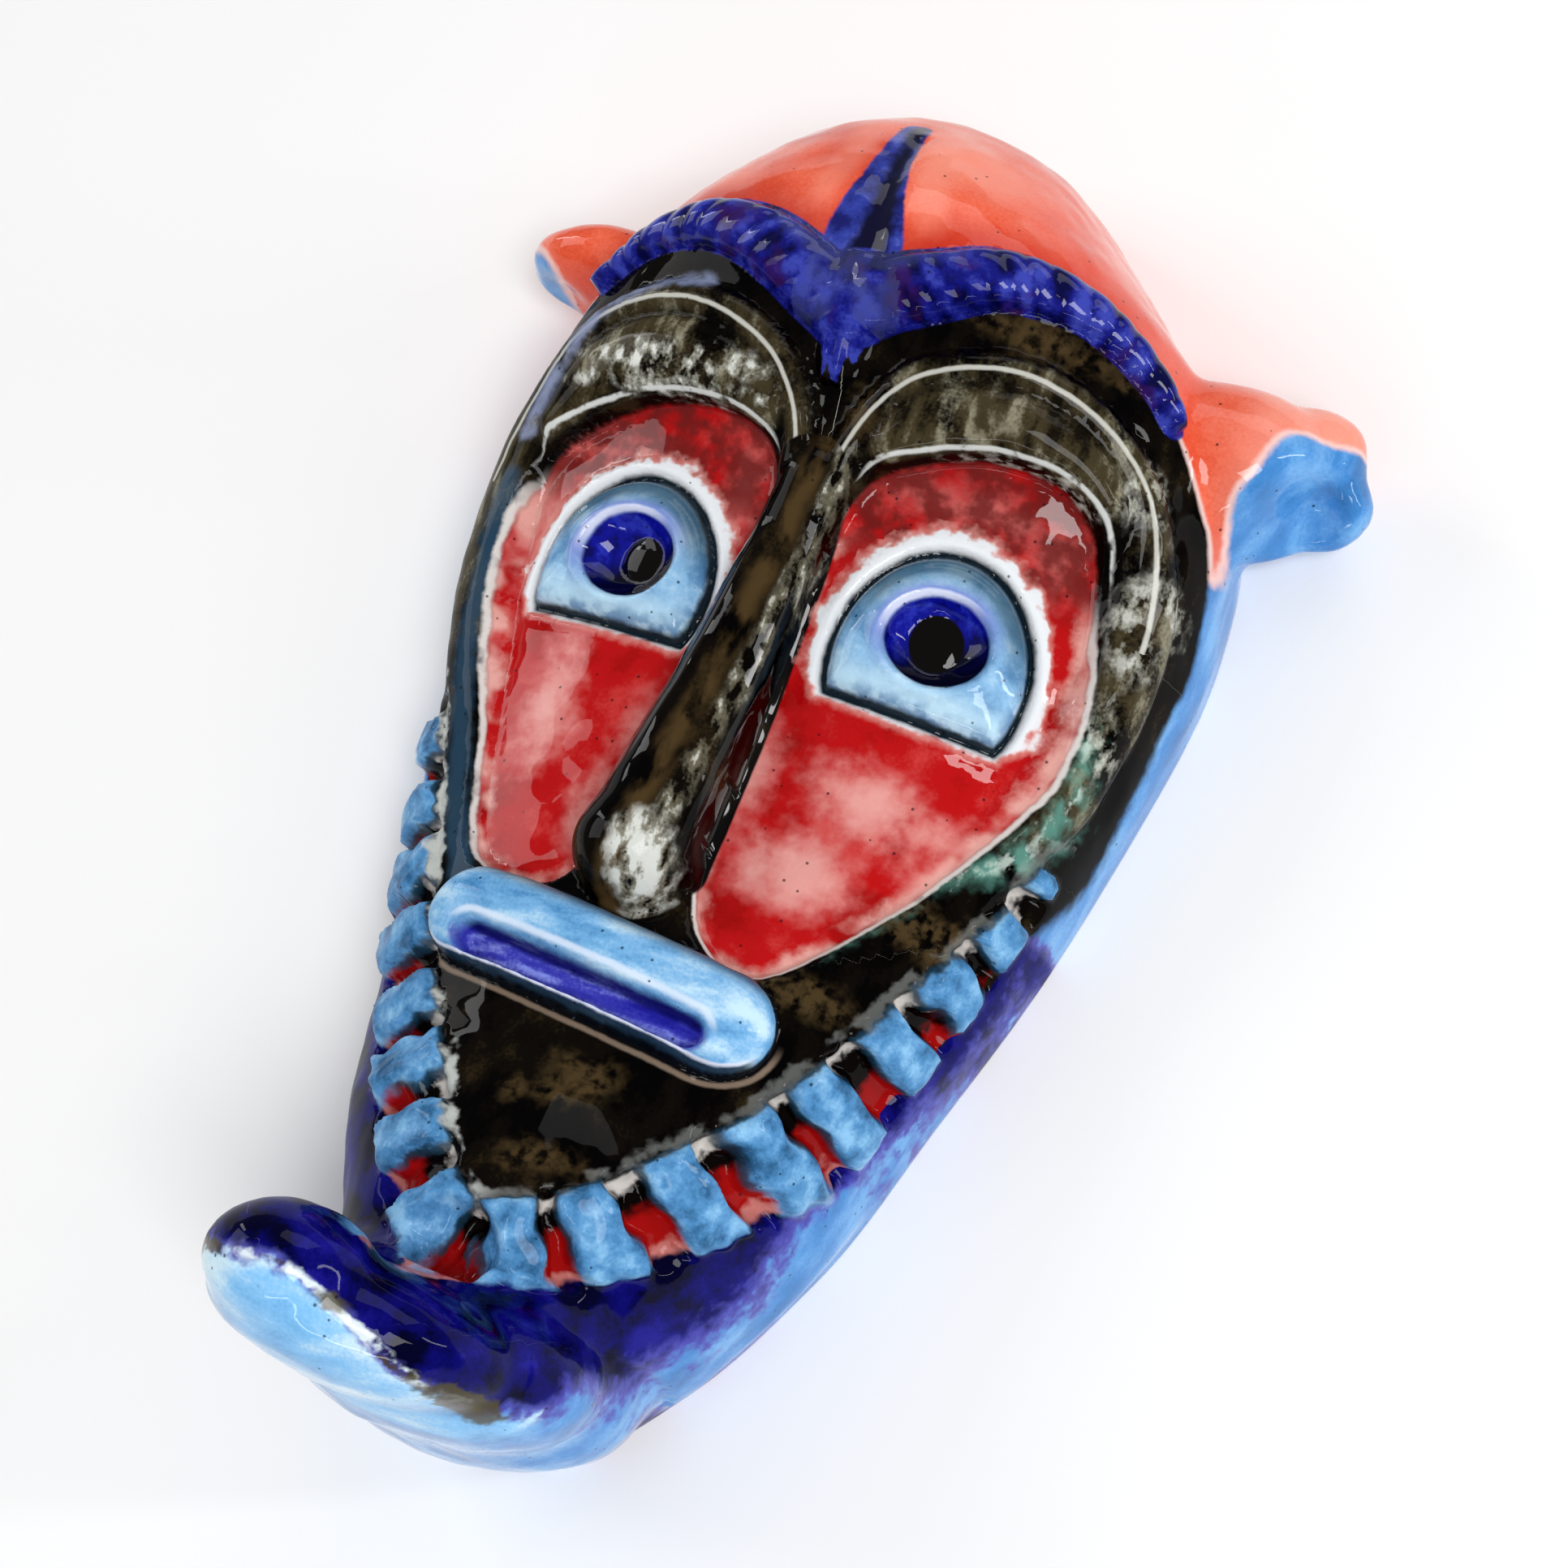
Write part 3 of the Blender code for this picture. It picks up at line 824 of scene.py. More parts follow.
@dataclass(frozen=True)
class ForeheadStripe:
    """The dark stripe painted in a shallow groove from the crown to the braid."""

    groove: tuple[Plan, Plan] = ((0.0, 141.0), (1.0, 103.0))
    groove_half_width: float = 4.0
    groove_depth: float = 1.6
    outline: Trace = Trace(
        ((-5.5, 146), (-1, 147), (0.5, 141), (3, 127), (6, 117), (9, 107), (8, 99), (-6, 99), (-9, 106),
         (-7.5, 114), (-6, 124), (-6, 136)),
        closed=True,
    )
    core: Trace = Trace(
        ((-4, 145), (-1, 146), (1, 132), (3.5, 120), (5.5, 108), (4, 100), (-3, 100), (-2.5, 108),
         (-1.5, 118), (-2.5, 132)),
        closed=True,
    )

    def relief(self, x: Array, y: Array) -> Array:
        """Depth of the groove."""
        t, away = beside_segment(self.groove, x, y)
        return -self.groove_depth * ramp(self.groove_half_width * (0.5 + t), 0.0, away)

    def fields(self, x: Array, y: Array) -> Fields:
        """Distances that the glaze follows."""
        return {"stripe": self.outline.outside(x, y), "stripe_core": self.core.outside(x, y)}


@dataclass(frozen=True)
class Ear:
    """One ear: lumps drawn out of the side of the head, with a hollow pressed in from below."""

    side: Side
    lumps: tuple[Lump, ...]
    hollow: Place
    radius: float
    depth: float
    press: Place = (-0.15, 0.8, -0.6)

    def pressed(self, points: Array) -> Array:
        """The points after the hollow is pressed in.

        Args:
            points: The points.

        Returns:
            The points, moved.
        """
        push = np.array([self.side.value * self.press[0], *self.press[1:]])
        away = np.linalg.norm(points - self.hollow, axis=1)
        return points + self.depth * ramp(self.radius, 0.0, away)[:, None] * push


@dataclass(frozen=True)
class Chin:
    """The upturned chin, from the jaw up to its tip, with the crest along its upper edge."""

    lumps: tuple[Lump, ...] = (
        Lump((-9.0, -139.5, 28.0), (38.0, 23.5, 42.0)),
        Lump((-7.0, -142.0, 56.0), (36.0, 18.0, 34.0), 8.0),
        Lump((-11.0, -143.0, 84.0), (31.0, 13.0, 25.0), 22.0),
        Lump((-21.5, -138.0, 99.0), (17.5, 12.5, 17.0), 30.0),
    )
    hollowed: int = 1
    crest: Trace = Trace(
        ((-35, -139), (-25.5, -138.5), (-16.5, -138), (-8.5, -141), (-2, -144), (7, -148.5), (15, -150)),
    )
    crest_above: Plan = (62.0, 76.0)
    crest_rise: Plan = (2.2, 0.9)
    too_low: float = 30.0

    def relief(self, x: Array, y: Array, z: Array) -> Array:
        """Height of the crest."""
        away = self.crest.away(x, y)
        return self.crest_rise[1] * ramp(self.crest_rise[0], 0.0, away) * ramp(*self.crest_above, z)

    def fields(self, x: Array, y: Array, z: Array) -> Fields:
        """Distances that the glaze follows."""
        return {"crest": self.crest.away(x, y) + self.too_low * (1.0 - ramp(*self.crest_above, z))}


@dataclass(frozen=True)
class Borders:
    """Borders between the glazes, and the line of a painted reflection, that no edge of the modelling
    marks.
    """

    face: Trace = Trace(
        ((0, 90), (14, 97), (30, 101), (46, 102), (60, 99), (71.7, 91.6), (76.6, 86.2), (80.5, 80.3),
         (83.3, 75.8), (85.4, 70.7), (87, 63.6), (87.7, 53), (87.4, 42.5), (85.4, 30.5), (84.2, 21.5),
         (82.2, 10.7), (79.7, -1.5), (76.2, -12.7), (71.8, -23.6), (64, -45),
         (53, -67), (34, -95), (11, -117), (-4, -122), (-24, -105), (-45, -76), (-63, -46), (-75, -17),
         (-81, 5), (-84, 30), (-84, 52), (-81, 70), (-74, 86), (-65, 96), (-50, 101), (-30, 100),
         (-14, 96)),
        closed=True,
    )
    orange: Trace = Trace(
        ((125, 112), (112, 107.5), (103.2, 104.4), (96, 102.2), (92.5, 97), (90.5, 91), (87.5, 85),
         (86.5, 79), (87, 72.5), (85, 67), (72, 60), (0, 50), (-72, 62), (-86, 68), (-83, 80), (-81, 92),
         (-85, 102), (-90, 108), (-97, 112), (-106, 114), (-112, 122), (-110, 150), (-60, 190),
         (60, 190), (110, 150)),
        closed=True,
    )
    deep: Trace = Trace(
        ((72, -22), (72.4, -31), (68, -46), (61.5, -60.5), (54.5, -79), (47, -94.5), (43, -109),
         (38.5, -118), (32.5, -127), (27, -135), (25, -144), (20, -148.5), (13, -150.3), (6, -147.8),
         (-2, -143.7), (-8.7, -140.7), (-16.4, -137.8), (-25.6, -138.2), (-36, -138), (-54, -127),
         (-72, -108), (-84, -86), (-92, -64), (-95, -44), (-90, -24), (0, -60)),
        closed=True,
    )
    left_streak: Trace = Trace(((-73, 46), (-71, 22), (-67, 2), (-60, -18), (-53, -34), (-44, -48)))
    teal: Trace = Trace(((75, 22), (75.5, 12), (73, 0), (67, -10), (56, -18.5), (47, -29), (38, -41)))
    # Line of a painted lilac reflection of soft light along the left brow roll's outer slope.
    lilac_reflection: Trace = Trace(((-72.5, 58), (-70.5, 68), (-66, 78), (-58, 86), (-47, 91), (-34, 93)))

    def fields(self, x: Array, y: Array) -> Fields:
        """Distances that the glaze follows.

        Args:
            x: Places across the face.
            y: Places along the face.

        Returns:
            The distances, by name.
        """
        closed = {"face": self.face, "orange": self.orange, "deep": self.deep}
        open_lines = {
            "left_streak": self.left_streak,
            "teal": self.teal,
            "lilac_reflection": self.lilac_reflection,
        }
        found = {name: trace.outside(x, y) for name, trace in closed.items()}
        return found | {name: trace.away(x, y) for name, trace in open_lines.items()}


@dataclass(frozen=True)
class Patch:
    """An oval patch of colour in a place of its own."""

    centre: Plan
    half_sizes: Plan

    def outside(self, x: Array, y: Array) -> Array:
        """About how far each point lies outside the patch, negative inside it."""
        (cx, cy), (half_width, half_height) = self.centre, self.half_sizes
        return (np.hypot((x - cx) / half_width, (y - cy) / half_height) - 1.0) * min(self.half_sizes)


@dataclass(frozen=True)
class Patches:
    """Patches that the glaze shows, some with painted sheen, where nothing in the modelling marks them.
    """

    blooms: tuple[Patch, ...] = (
        Patch((36, -8), (13, 8)),
        Patch((27, -27), (13, 9)),
        Patch((9, -8), (5, 10)),
        Patch((58, -18), (9, 5)),
        Patch((52, -10), (8, 4)),
        Patch((-43, -5), (6.5, 15)),
        Patch((-18.5, -4), (4, 6)),
        Patch((-21, -27), (6, 9)),
        Patch((38, 60), (22, 4)),
        Patch((59, 55), (6, 7)),
        Patch((-52, 57), (14, 4)),
        Patch((-63, 40), (4, 15)),
        Patch((-14, 53), (4, 9)),
    )
    # Pale patches on the dark frame: glaze broken thin, and a painted sheen of soft light on the brow
    # pads and rolls.
    breaks_and_sheens: tuple[Patch, ...] = (
        Patch((-36.5, 76), (18, 3)),
        Patch((71, 74), (4, 5)),
        Patch((81, 53), (3.5, 5)),
        Patch((75, 47), (3, 9)),
        Patch((51, 68), (12, 2)),
        Patch((8, 51.6), (1.8, 1.8)),
        Patch((9.3, 34), (2, 8)),
        Patch((74, 20), (2.5, 5)),
        Patch((-35, 71), (14, 1.5)),
    )
    bronzes: tuple[Patch, ...] = (
        Patch((4, -102), (7, 3)),
        Patch((0, -87.5), (4, 3.6)),
        Patch((-7, -90), (2.4, 2.2)),
        Patch((5, -83), (7, 4.5)),
        Patch((9.5, 71), (3.5, 6)),
        Patch((56, -30), (12, 5)),
        Patch((37, -52), (9, 4)),
        Patch((44, 96), (16, 3)),
    )
    browns: tuple[Patch, ...] = (
        Patch((14, -150), (6, 2.6)),
        Patch((-33, -139), (4, 1.6)),
        Patch((-7, -141.5), (3, 1.2)),
    )
    black_spot: tuple[Patch, ...] = (Patch((78, -4), (2.6, 2.4)),)

    def fields(self, x: Array, y: Array) -> Fields:
        """Distances that the glaze follows.

        Args:
            x: Places across the face.
            y: Places along the face.

        Returns:
            The distances, by name.
        """
        groups = {
            "bloom": self.blooms,
            "break_and_sheen": self.breaks_and_sheens,
            "bronze": self.bronzes,
            "brown": self.browns,
            "black_spot": self.black_spot,
        }
        return {
            name: np.minimum.reduce([patch.outside(x, y) for patch in group])
            for name, group in groups.items()
        }


CHEEKS = (
    Cheek(
        Side.RIGHT,
        socket=Trace(
            ((13, 58), (26, 66), (42, 70), (58, 68), (67, 57), (71, 33), (70, 12), (62, -8), (50, -28),
             (29, -51), (14, -47), (7, -30), (5, 0), (8, 35)),
            closed=True,
        ),
        brow=Trace(
            ((6, 46), (8, 64), (15, 77), (25, 84), (41, 87.5), (57, 84.5), (69, 76), (75, 62), (77, 44),
             (75, 26), (71, 8), (64, -9), (54, -26)),
        ),
    ),
    Cheek(
        Side.LEFT,
        socket=Trace(
            ((-7, 57), (-15, 66), (-33, 68), (-51, 63), (-65, 52), (-69, 34), (-65, 12), (-58, -8),
             (-52, -26), (-43, -43), (-22, -44), (-14, -24), (-8, 0), (-5, 35)),
            closed=True,
        ),
        brow=Trace(
            ((-2, 46), (-3, 65), (-9, 77), (-19, 84.5), (-36, 89), (-54, 86), (-66, 77), (-72, 62),
             (-74, 46), (-73, 28), (-69, 10), (-63, -8), (-56, -26)),
        ),
    ),
)
EYES = (
    Eye((38.8, 24.0), (22.3, 25.5), (12.5, -0.06), (39.5, 29.5), (39.0, 30.0), 6.2),
    Eye((-36.5, 26.5), (22.0, 24.5), (16.5, -0.06), (-35.0, 32.0), (-33.0, 32.5), 5.2),
)
TOOTH_ROWS = (
    ToothRow(
        Side.RIGHT,
        Trace(((-4, -123), (11, -117), (23, -108), (34, -95), (44, -82), (53, -67), (61.5, -51),
               (69, -36), (76, -21), (80, -8))),
    ),
    ToothRow(
        Side.LEFT,
        Trace(((-4, -123), (-14, -117), (-24, -105), (-35, -90), (-45.5, -76), (-55, -61), (-63, -46),
               (-70, -31), (-75, -17), (-78, -6))),
    ),
)
BRAIDS = (
    Braid(
        Side.RIGHT,
        Trace(((2, 92), (10, 97), (20, 101), (30, 105), (41, 106.5), (51, 105.5), (60, 102), (67, 97),
               (72, 91.5))),
    ),
    Braid(
        Side.LEFT,
        Trace(((0, 92), (-7, 95.5), (-14, 99.5), (-24, 104), (-36, 106.5), (-49, 105), (-58, 101),
               (-66, 96))),
    ),
)
EARS = (
    Ear(
        Side.RIGHT,
        (
            Lump((83.0, 95.5, 22.0), (26.0, 19.5, 20.0), 12.0),
            Lump((99.0, 104.5, 19.0), (12.5, 11.5, 12.0)),
            Lump((103.0, 96.5, 14.0), (12.0, 11.0, 11.0)),
        ),
        hollow=(101.0, 85.0, 26.0),
        radius=17.0,
        depth=11.0,
    ),
    Ear(
        Side.LEFT,
        (
            Lump((-76.0, 112.0, 22.0), (24.0, 9.5, 19.0), -6.0),
            Lump((-91.5, 114.5, 17.0), (11.0, 9.0, 11.0)),
        ),
        hollow=(-92.0, 96.0, 22.0),
        radius=14.0,
        depth=8.0,
    ),
)


def mesh_of(made: bmesh.types.BMesh, name: str) -> bpy.types.Mesh:
    """Turns a bmesh into a mesh and frees it.

    Args:
        made: The bmesh, which is used up.
        name: The mesh's name.

    Returns:
        The mesh.
    """
    mesh = bpy.data.meshes.new(name)
    made.to_mesh(mesh)
    made.free()
    return mesh


def read_points(mesh: bpy.types.Mesh) -> Array:
    """The mesh's vertices as an array.

    Args:
        mesh: The mesh.

    Returns:
        One row for each vertex.
    """
    points = np.empty(len(mesh.vertices) * 3)
    mesh.vertices.foreach_get("co", points)
    return points.reshape(-1, 3)


def read_normals(mesh: bpy.types.Mesh) -> Array:
    """The mesh's vertex normals as an array.

    Args:
        mesh: The mesh.

    Returns:
        One row for each vertex.
    """
    normals = np.empty(len(mesh.vertices) * 3)
    mesh.vertex_normals.foreach_get("vector", normals)
    return normals.reshape(-1, 3)


def write_points(mesh: bpy.types.Mesh, points: Array) -> None:
    """Moves the mesh's vertices to these points."""
    mesh.vertices.foreach_set("co", points.ravel())
    mesh.update()


def joined(meshes: list[bpy.types.Mesh]) -> bpy.types.Mesh:
    """One mesh of all these, which are used up.

    Args:
        meshes: The meshes, which are used up.

    Returns:
        The mesh of all.
    """
    made = bmesh.new()
    for mesh in meshes:
        made.from_mesh(mesh)
        bpy.data.meshes.remove(mesh)
    return mesh_of(made, "clay")


def worked(mesh: bpy.types.Mesh, kind: str, **settings: object) -> bpy.types.Mesh:
    """Works a mesh with one modifier.

    Args:
        mesh: The mesh, which is used up.
        kind: The modifier's type.
        **settings: The modifier's settings.

    Returns:
        The worked mesh.
    """
    obj = bpy.data.objects.new("clay", mesh)
    bpy.context.collection.objects.link(obj)
    modifier = obj.modifiers.new(kind.title(), kind)
    for name, value in settings.items():
        setattr(modifier, name, value)
    graph = bpy.context.evaluated_depsgraph_get()
    result = bpy.data.meshes.new_from_object(obj.evaluated_get(graph))
    bpy.data.objects.remove(obj)
    bpy.data.meshes.remove(mesh)
    return result


def kneaded(mesh: bpy.types.Mesh, grain: float, smoothings: int) -> bpy.types.Mesh:
    """Works lumps into one skin of even facets, with their joins smoothed over.

    Args:
        mesh: The lumps, which are used up.
        grain: Size of a facet.
        smoothings: How often the skin is smoothed.

    Returns:
        The skin.
    """
    mesh = worked(mesh, "REMESH", mode="VOXEL", voxel_size=grain)
    return worked(mesh, "SMOOTH", factor=0.5, iterations=smoothings)


def cut_open(mesh: bpy.types.Mesh) -> bpy.types.Mesh:
    """Takes away all that lies below the rim's plane and leaves the mesh open there.

    Args:
        mesh: The mesh, which is used up.

    Returns:
        The open mesh.
    """
    made = bmesh.new()
    made.from_mesh(mesh)
    all_of_it = made.verts[:] + made.edges[:] + made.faces[:]
    rim = {"plane_co": (0, 0, 0), "plane_no": (0, 0, 1)}
    bmesh.ops.bisect_plane(made, geom=all_of_it, clear_inner=True, **rim)
    bpy.data.meshes.remove(mesh)
    return mesh_of(made, "clay")


def unevenness(points: Array, size: float, seed: Place) -> Array:
    """The slight unevenness of hand-worked clay.

    Args:
        points: Where to read it.
        size: Width of its waves.
        seed: A shift that gives another pattern.

    Returns:
        A height at each point, mostly between -0.5 and 0.5.
    """
    shift = Vector(seed)
    return np.array([noise.noise(Vector(point) / size + shift) for point in points])


@dataclass(frozen=True)
class Mask:
    """The whole mask: its parts, and the clay skin, hollow and rim that are built from them."""

    body: Body = Body()
    chin: Chin = Chin()
    cheeks: tuple[Cheek, ...] = CHEEKS
    eyes: tuple[Eye, ...] = EYES
    nose: Nose = Nose()
    mouth: Mouth = Mouth()
    tooth_rows: tuple[ToothRow, ...] = TOOTH_ROWS
    braids: tuple[Braid, ...] = BRAIDS
    tassel: Tassel = Tassel()
    stripe: ForeheadStripe = ForeheadStripe()
    ears: tuple[Ear, ...] = EARS
    borders: Borders = Borders()
    patches: Patches = Patches()
    grain: float = 1.66
    smoothings: int = 16
    root_smoothings: int = 82
    root_starts: Plan = (-92.0, -118.0)
    root_ends: Plan = (82.0, 56.0)
    hollow_grain: float = 3.6
    hollow_smoothings: int = 6
    wall: float = 9.0
    relief_starts: Plan = (3.0, 10.0)
    relief_reach: Plan = (9.0, 3.0)
    waves: tuple[Plan, ...] = ((17.0, 0.75), (6.0, 0.22))
    hollow_wave: Plan = (15.0, 1.1)
    hollow_seed: Place = (0.0, 7.0, 0.0)
    softening: float = 0.5
    fine_smoothings: int = 2
    fine_above: float = 14.0
    signed: tuple[str, ...] = ("ridge",)
    fine_near: tuple[tuple[str, float], ...] = (
        ("eye", 3.5), ("braid", 2.0), ("mouth", 2.0), ("row", 2.5), ("crest", 3.0),
    )
    fine_at: tuple[tuple[str, float], ...] = (("cheek", 2.5), ("nose", 3.0))

    def relief(self, x: Array, y: Array, z: Array) -> Array:
        """Height of all the modelling above the bare shell.

        Args:
            x: Places across the face.
            y: Places along the face.
            z: Heights above the rim.

        Returns:
            The height at each point.
        """
        face = self.stripe.relief(x, y) + self.chin.relief(x, y, z)
        for part in self.cheeks + self.eyes:
            face = face + part.relief(x, y)
        for row in self.tooth_rows:
            face = face + row.relief(x, y, z)
        added = [part.relief(x, y) for part in (self.nose, self.tassel, *self.braids)]
        over = np.maximum.reduce(added)
        return np.where(over > 0.0, np.maximum(face, over), face) + self.mouth.relief(x, y)

    def fields(self, x: Array, y: Array, z: Array) -> Fields:
        """Collects the distances of every part, keeping the nearest where two have the same name.

        Args:
            x: Places across the face.
            y: Places along the face.
            z: Heights above the rim.

        Returns:
            The distances, by name.
        """
        found: Fields = {}
        flat = (
            *self.cheeks, *self.eyes, self.nose, self.mouth, *self.braids, self.tassel, self.stripe,
            self.patches,
        )
        collected = [part.fields(x, y) for part in flat]
        collected += [part.fields(x, y, z) for part in (*self.tooth_rows, self.chin)]
        for marks in collected:
            for name, values in marks.items():
                before = found.get(name, np.full(x.shape, FAR))
                closer = np.abs(values) < np.abs(before) if name in self.signed else values < before
                found[name] = np.where(closer, values, before)
        return found

    def settled(self, mesh: bpy.types.Mesh) -> bpy.types.Mesh:
        """The skin with the joins at the root of the chin smoothed further.

        Args:
            mesh: The skin.

        Returns:
            The skin, smoothed.
        """
        points = read_points(mesh)
        smoother = worked(mesh.copy(), "SMOOTH", factor=self.softening, iterations=self.root_smoothings)
        share = ramp(*self.root_starts, points[:, 1]) * ramp(*self.root_ends, points[:, 2])
        write_points(mesh, points + (read_points(smoother) - points) * share[:, None])
        bpy.data.meshes.remove(smoother)
        return mesh

    def fine_places(self, x: Array, y: Array, z: Array) -> Array:
        """Where the modelling needs finer facets.

        Args:
            x: Places across the face.
            y: Places along the face.
            z: Heights above the rim.

        Returns:
            True where they are fine.
        """
        marks = self.fields(x, y, z)
        near = [marks[name] < reach for name, reach in self.fine_near]
        near += [np.abs(marks[name]) < reach for name, reach in self.fine_at]
        return np.logical_or.reduce(near) & (z > self.fine_above)

    def refined(self, mesh: bpy.types.Mesh) -> bpy.types.Mesh:
        """The skin with its facets halved where the modelling is fine, and smoothed there.

        Args:
            mesh: The mesh, which is used up.

        Returns:
            The finer skin.
        """
        fine = self.fine_places(*read_points(mesh).T)
        made = bmesh.new()
        made.from_mesh(mesh)
        made.verts.ensure_lookup_table()
        edges = [edge for edge in made.edges if all(fine[vert.index] for vert in edge.verts)]
        split = bmesh.ops.subdivide_edges(made, edges=edges, cuts=1, use_grid_fill=True)
        new = [item for item in split["geom_inner"] if isinstance(item, bmesh.types.BMVert)]
        ring = {face_vert for vert in new for face in vert.link_faces for face_vert in face.verts}
        axes = {f"use_axis_{axis}": True for axis in "xyz"}
        for _ in range(self.fine_smoothings):
            bmesh.ops.smooth_vert(made, verts=list(ring), factor=self.softening, **axes)
        bmesh.ops.triangulate(made, faces=made.faces[:])
        bpy.data.meshes.remove(mesh)
        return mesh_of(made, "clay")

    def skin(self) -> bpy.types.Mesh:
        """The outside, open at the rim, with all its relief and the fields that the glaze reads.

        Returns:
            The skin.
        """
        lumps = [self.body.build()]
        lumps += [lump.build() for ear in self.ears for lump in ear.lumps]
        lumps += [lump.build() for lump in self.chin.lumps]
        mesh = self.settled(kneaded(joined(lumps), self.grain, self.smoothings))
        mesh = self.refined(cut_open(mesh))
        points = read_points(mesh)
        x, y, z = points.T
        on_body = ramp(*self.relief_starts, z) * ramp(*self.relief_reach, z - self.body.height(x, y))
        height = self.relief(x, y, z) * on_body
        uneven = sum(depth * unevenness(points, size, (size, 0.0, 0.0)) for size, depth in self.waves)
        moved = points + read_normals(mesh) * (height + uneven * ramp(*self.relief_starts, z))[:, None]
        for ear in self.ears:
            moved = ear.pressed(moved)
        borders = self.borders.fields(moved[:, 0], moved[:, 1])
        own = {"relief": height, "level": z, "up": y, "across": x}
        self.mark(mesh, self.fields(x, y, z) | borders | own)
        write_points(mesh, moved)
        return mesh

    def mark(self, mesh: bpy.types.Mesh, fields: Fields) -> None:
        """Stores each field on the mesh, for the glaze to read.

        Args:
            mesh: The mesh.
            fields: The fields, by name.
        """
        for name, values in fields.items():
            stored = mesh.attributes.new(name, "FLOAT", "POINT")
            stored.data.foreach_set("value", np.ascontiguousarray(values, dtype=np.float32))

    def inside(self) -> bpy.types.Mesh:
        """The hollow's wall, a wall's thickness in from the bare shell and the root of the chin.

        Returns:
            The wall of the hollow.
        """
        shell = self.body.build()
        write_points(shell, read_points(shell) - read_normals(shell) * self.wall)
        chin = self.chin.lumps[self.chin.hollowed].build(thinner=self.wall)
        mesh = kneaded(joined([shell, chin]), self.hollow_grain, self.hollow_smoothings)
        mesh = cut_open(mesh)
        points = read_points(mesh)
        size, depth = self.hollow_wave
        pressed = depth * unevenness(points, size, self.hollow_seed)
        pressed = pressed * ramp(*self.relief_starts, points[:, 2])
        write_points(mesh, points + read_normals(mesh) * pressed[:, None])
        return mesh

    def closed(self, skin: bpy.types.Mesh, inside: bpy.types.Mesh) -> bpy.types.Mesh:
        """Joins the outside to the hollow's wall with the flat rim that the mask lies on.

        Args:
            skin: The outside, open at the rim.
            inside: The wall of the hollow, with its faces outwards from the hollow.

        Returns:
            One closed mesh, whose hollow and rim have the second material.
        """
        made = bmesh.new()
        made.from_mesh(skin)
        outer_faces = len(made.faces)
        made.from_mesh(inside)
        made.faces.ensure_lookup_table()
        inner = made.faces[outer_faces:]
        bmesh.ops.reverse_faces(made, faces=inner)
        open_edges = [edge for edge in made.edges if edge.is_boundary]
        rim = bmesh.ops.triangle_fill(made, edges=open_edges, use_beauty=True, normal=(0, 0, -1))
        for face in inner + [item for item in rim["geom"] if isinstance(item, bmesh.types.BMFace)]:
            face.material_index = 1
        bmesh.ops.triangulate(made, faces=made.faces[:])
        for face in made.faces:
            face.smooth = True
        for mesh in (skin, inside):
            bpy.data.meshes.remove(mesh)
        return mesh_of(made, "mask")

    def fitted(self, mesh: bpy.types.Mesh) -> bpy.types.Mesh:
        """Brings the form from steps to its place and size in the frame.

        Args:
            mesh: The mesh.

        Returns:
            The mesh, in its place.
        """
        lowest, highest = (np.array(corner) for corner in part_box("mask"))
        points = read_points(mesh)
        low, high = points.min(axis=0), points.max(axis=0)
        write_points(mesh, (points - low) / (high - low) * (highest - lowest) + lowest)
        return mesh

    def build(self, glaze: bpy.types.Material, clay: bpy.types.Material) -> bpy.types.Object:
        """Builds the mask and dresses it.

        Args:
            glaze: Material of the outside.
            clay: Material of the hollow and the rim.

        Returns:
            The mask's object.
        """
        mesh = self.fitted(self.closed(self.skin(), self.inside()))
        mesh.materials.append(glaze)
        mesh.materials.append(clay)
        obj = bpy.data.objects.new("ceramic_mask", mesh)
        bpy.context.collection.objects.link(obj)
        log.info("%s: %d triangles", obj.name, len(mesh.polygons))
        return obj


def linear(code: str) -> tuple[float, float, float, float]:
    """A colour's linear values.

    Args:
        code: The colour as six hex digits.

    Returns:
        Red, green, blue and 1.
    """
    parts = [int(code[i : i + 2], 16) / 255 for i in (0, 2, 4)]
    made = [part / 12.92 if part <= 0.04045 else ((part + 0.055) / 1.055) ** 2.4 for part in parts]
    return (*made, 1.0)


class Value:
    """A number of a shader. Arithmetic on it adds Math nodes."""

    def __init__(self, graph: "Graph", socket: bpy.types.NodeSocket) -> None:
        """Wraps a socket.

        Args:
            graph: The graph that the socket is in.
            socket: The output socket.
        """
        self.graph = graph
        self.socket = socket

    def math(self, operation: str, first: object, second: object = 0.0) -> "Value":
        """The result of one Math node."""
        return self.graph.node("ShaderNodeMath", {"operation": operation}, {0: first, 1: second})

    def __add__(self, other: object) -> "Value":
        """The sum."""
        return self.math("ADD", self, other)

    def __radd__(self, other: object) -> "Value":
        """The sum."""
        return self.math("ADD", other, self)

    def __sub__(self, other: object) -> "Value":
        """The difference."""
        return self.math("SUBTRACT", self, other)

    def __rsub__(self, other: object) -> "Value":
        """The difference."""
        return self.math("SUBTRACT", other, self)

    def __mul__(self, other: object) -> "Value":
        """The product."""
        return self.math("MULTIPLY", self, other)

    def __rmul__(self, other: object) -> "Value":
        """The product."""
        return self.math("MULTIPLY", other, self)

    def __abs__(self) -> "Value":
        """The number without its sign."""
        return self.math("ABSOLUTE", self)

    def goes(self, start: float, end: float) -> "Value":
        """Goes smoothly from 0 at start to 1 at end.

        Args:
            start: The number where the ramp begins.
            end: The number where it is complete, above or below start.

        Returns:
            The share.
        """
        if start > end:
            return 1.0 - self.goes(end, start)
        inputs = {"Value": self, "From Min": start, "From Max": end}
        return self.graph.node("ShaderNodeMapRange", {"interpolation_type": "SMOOTHSTEP"}, inputs)


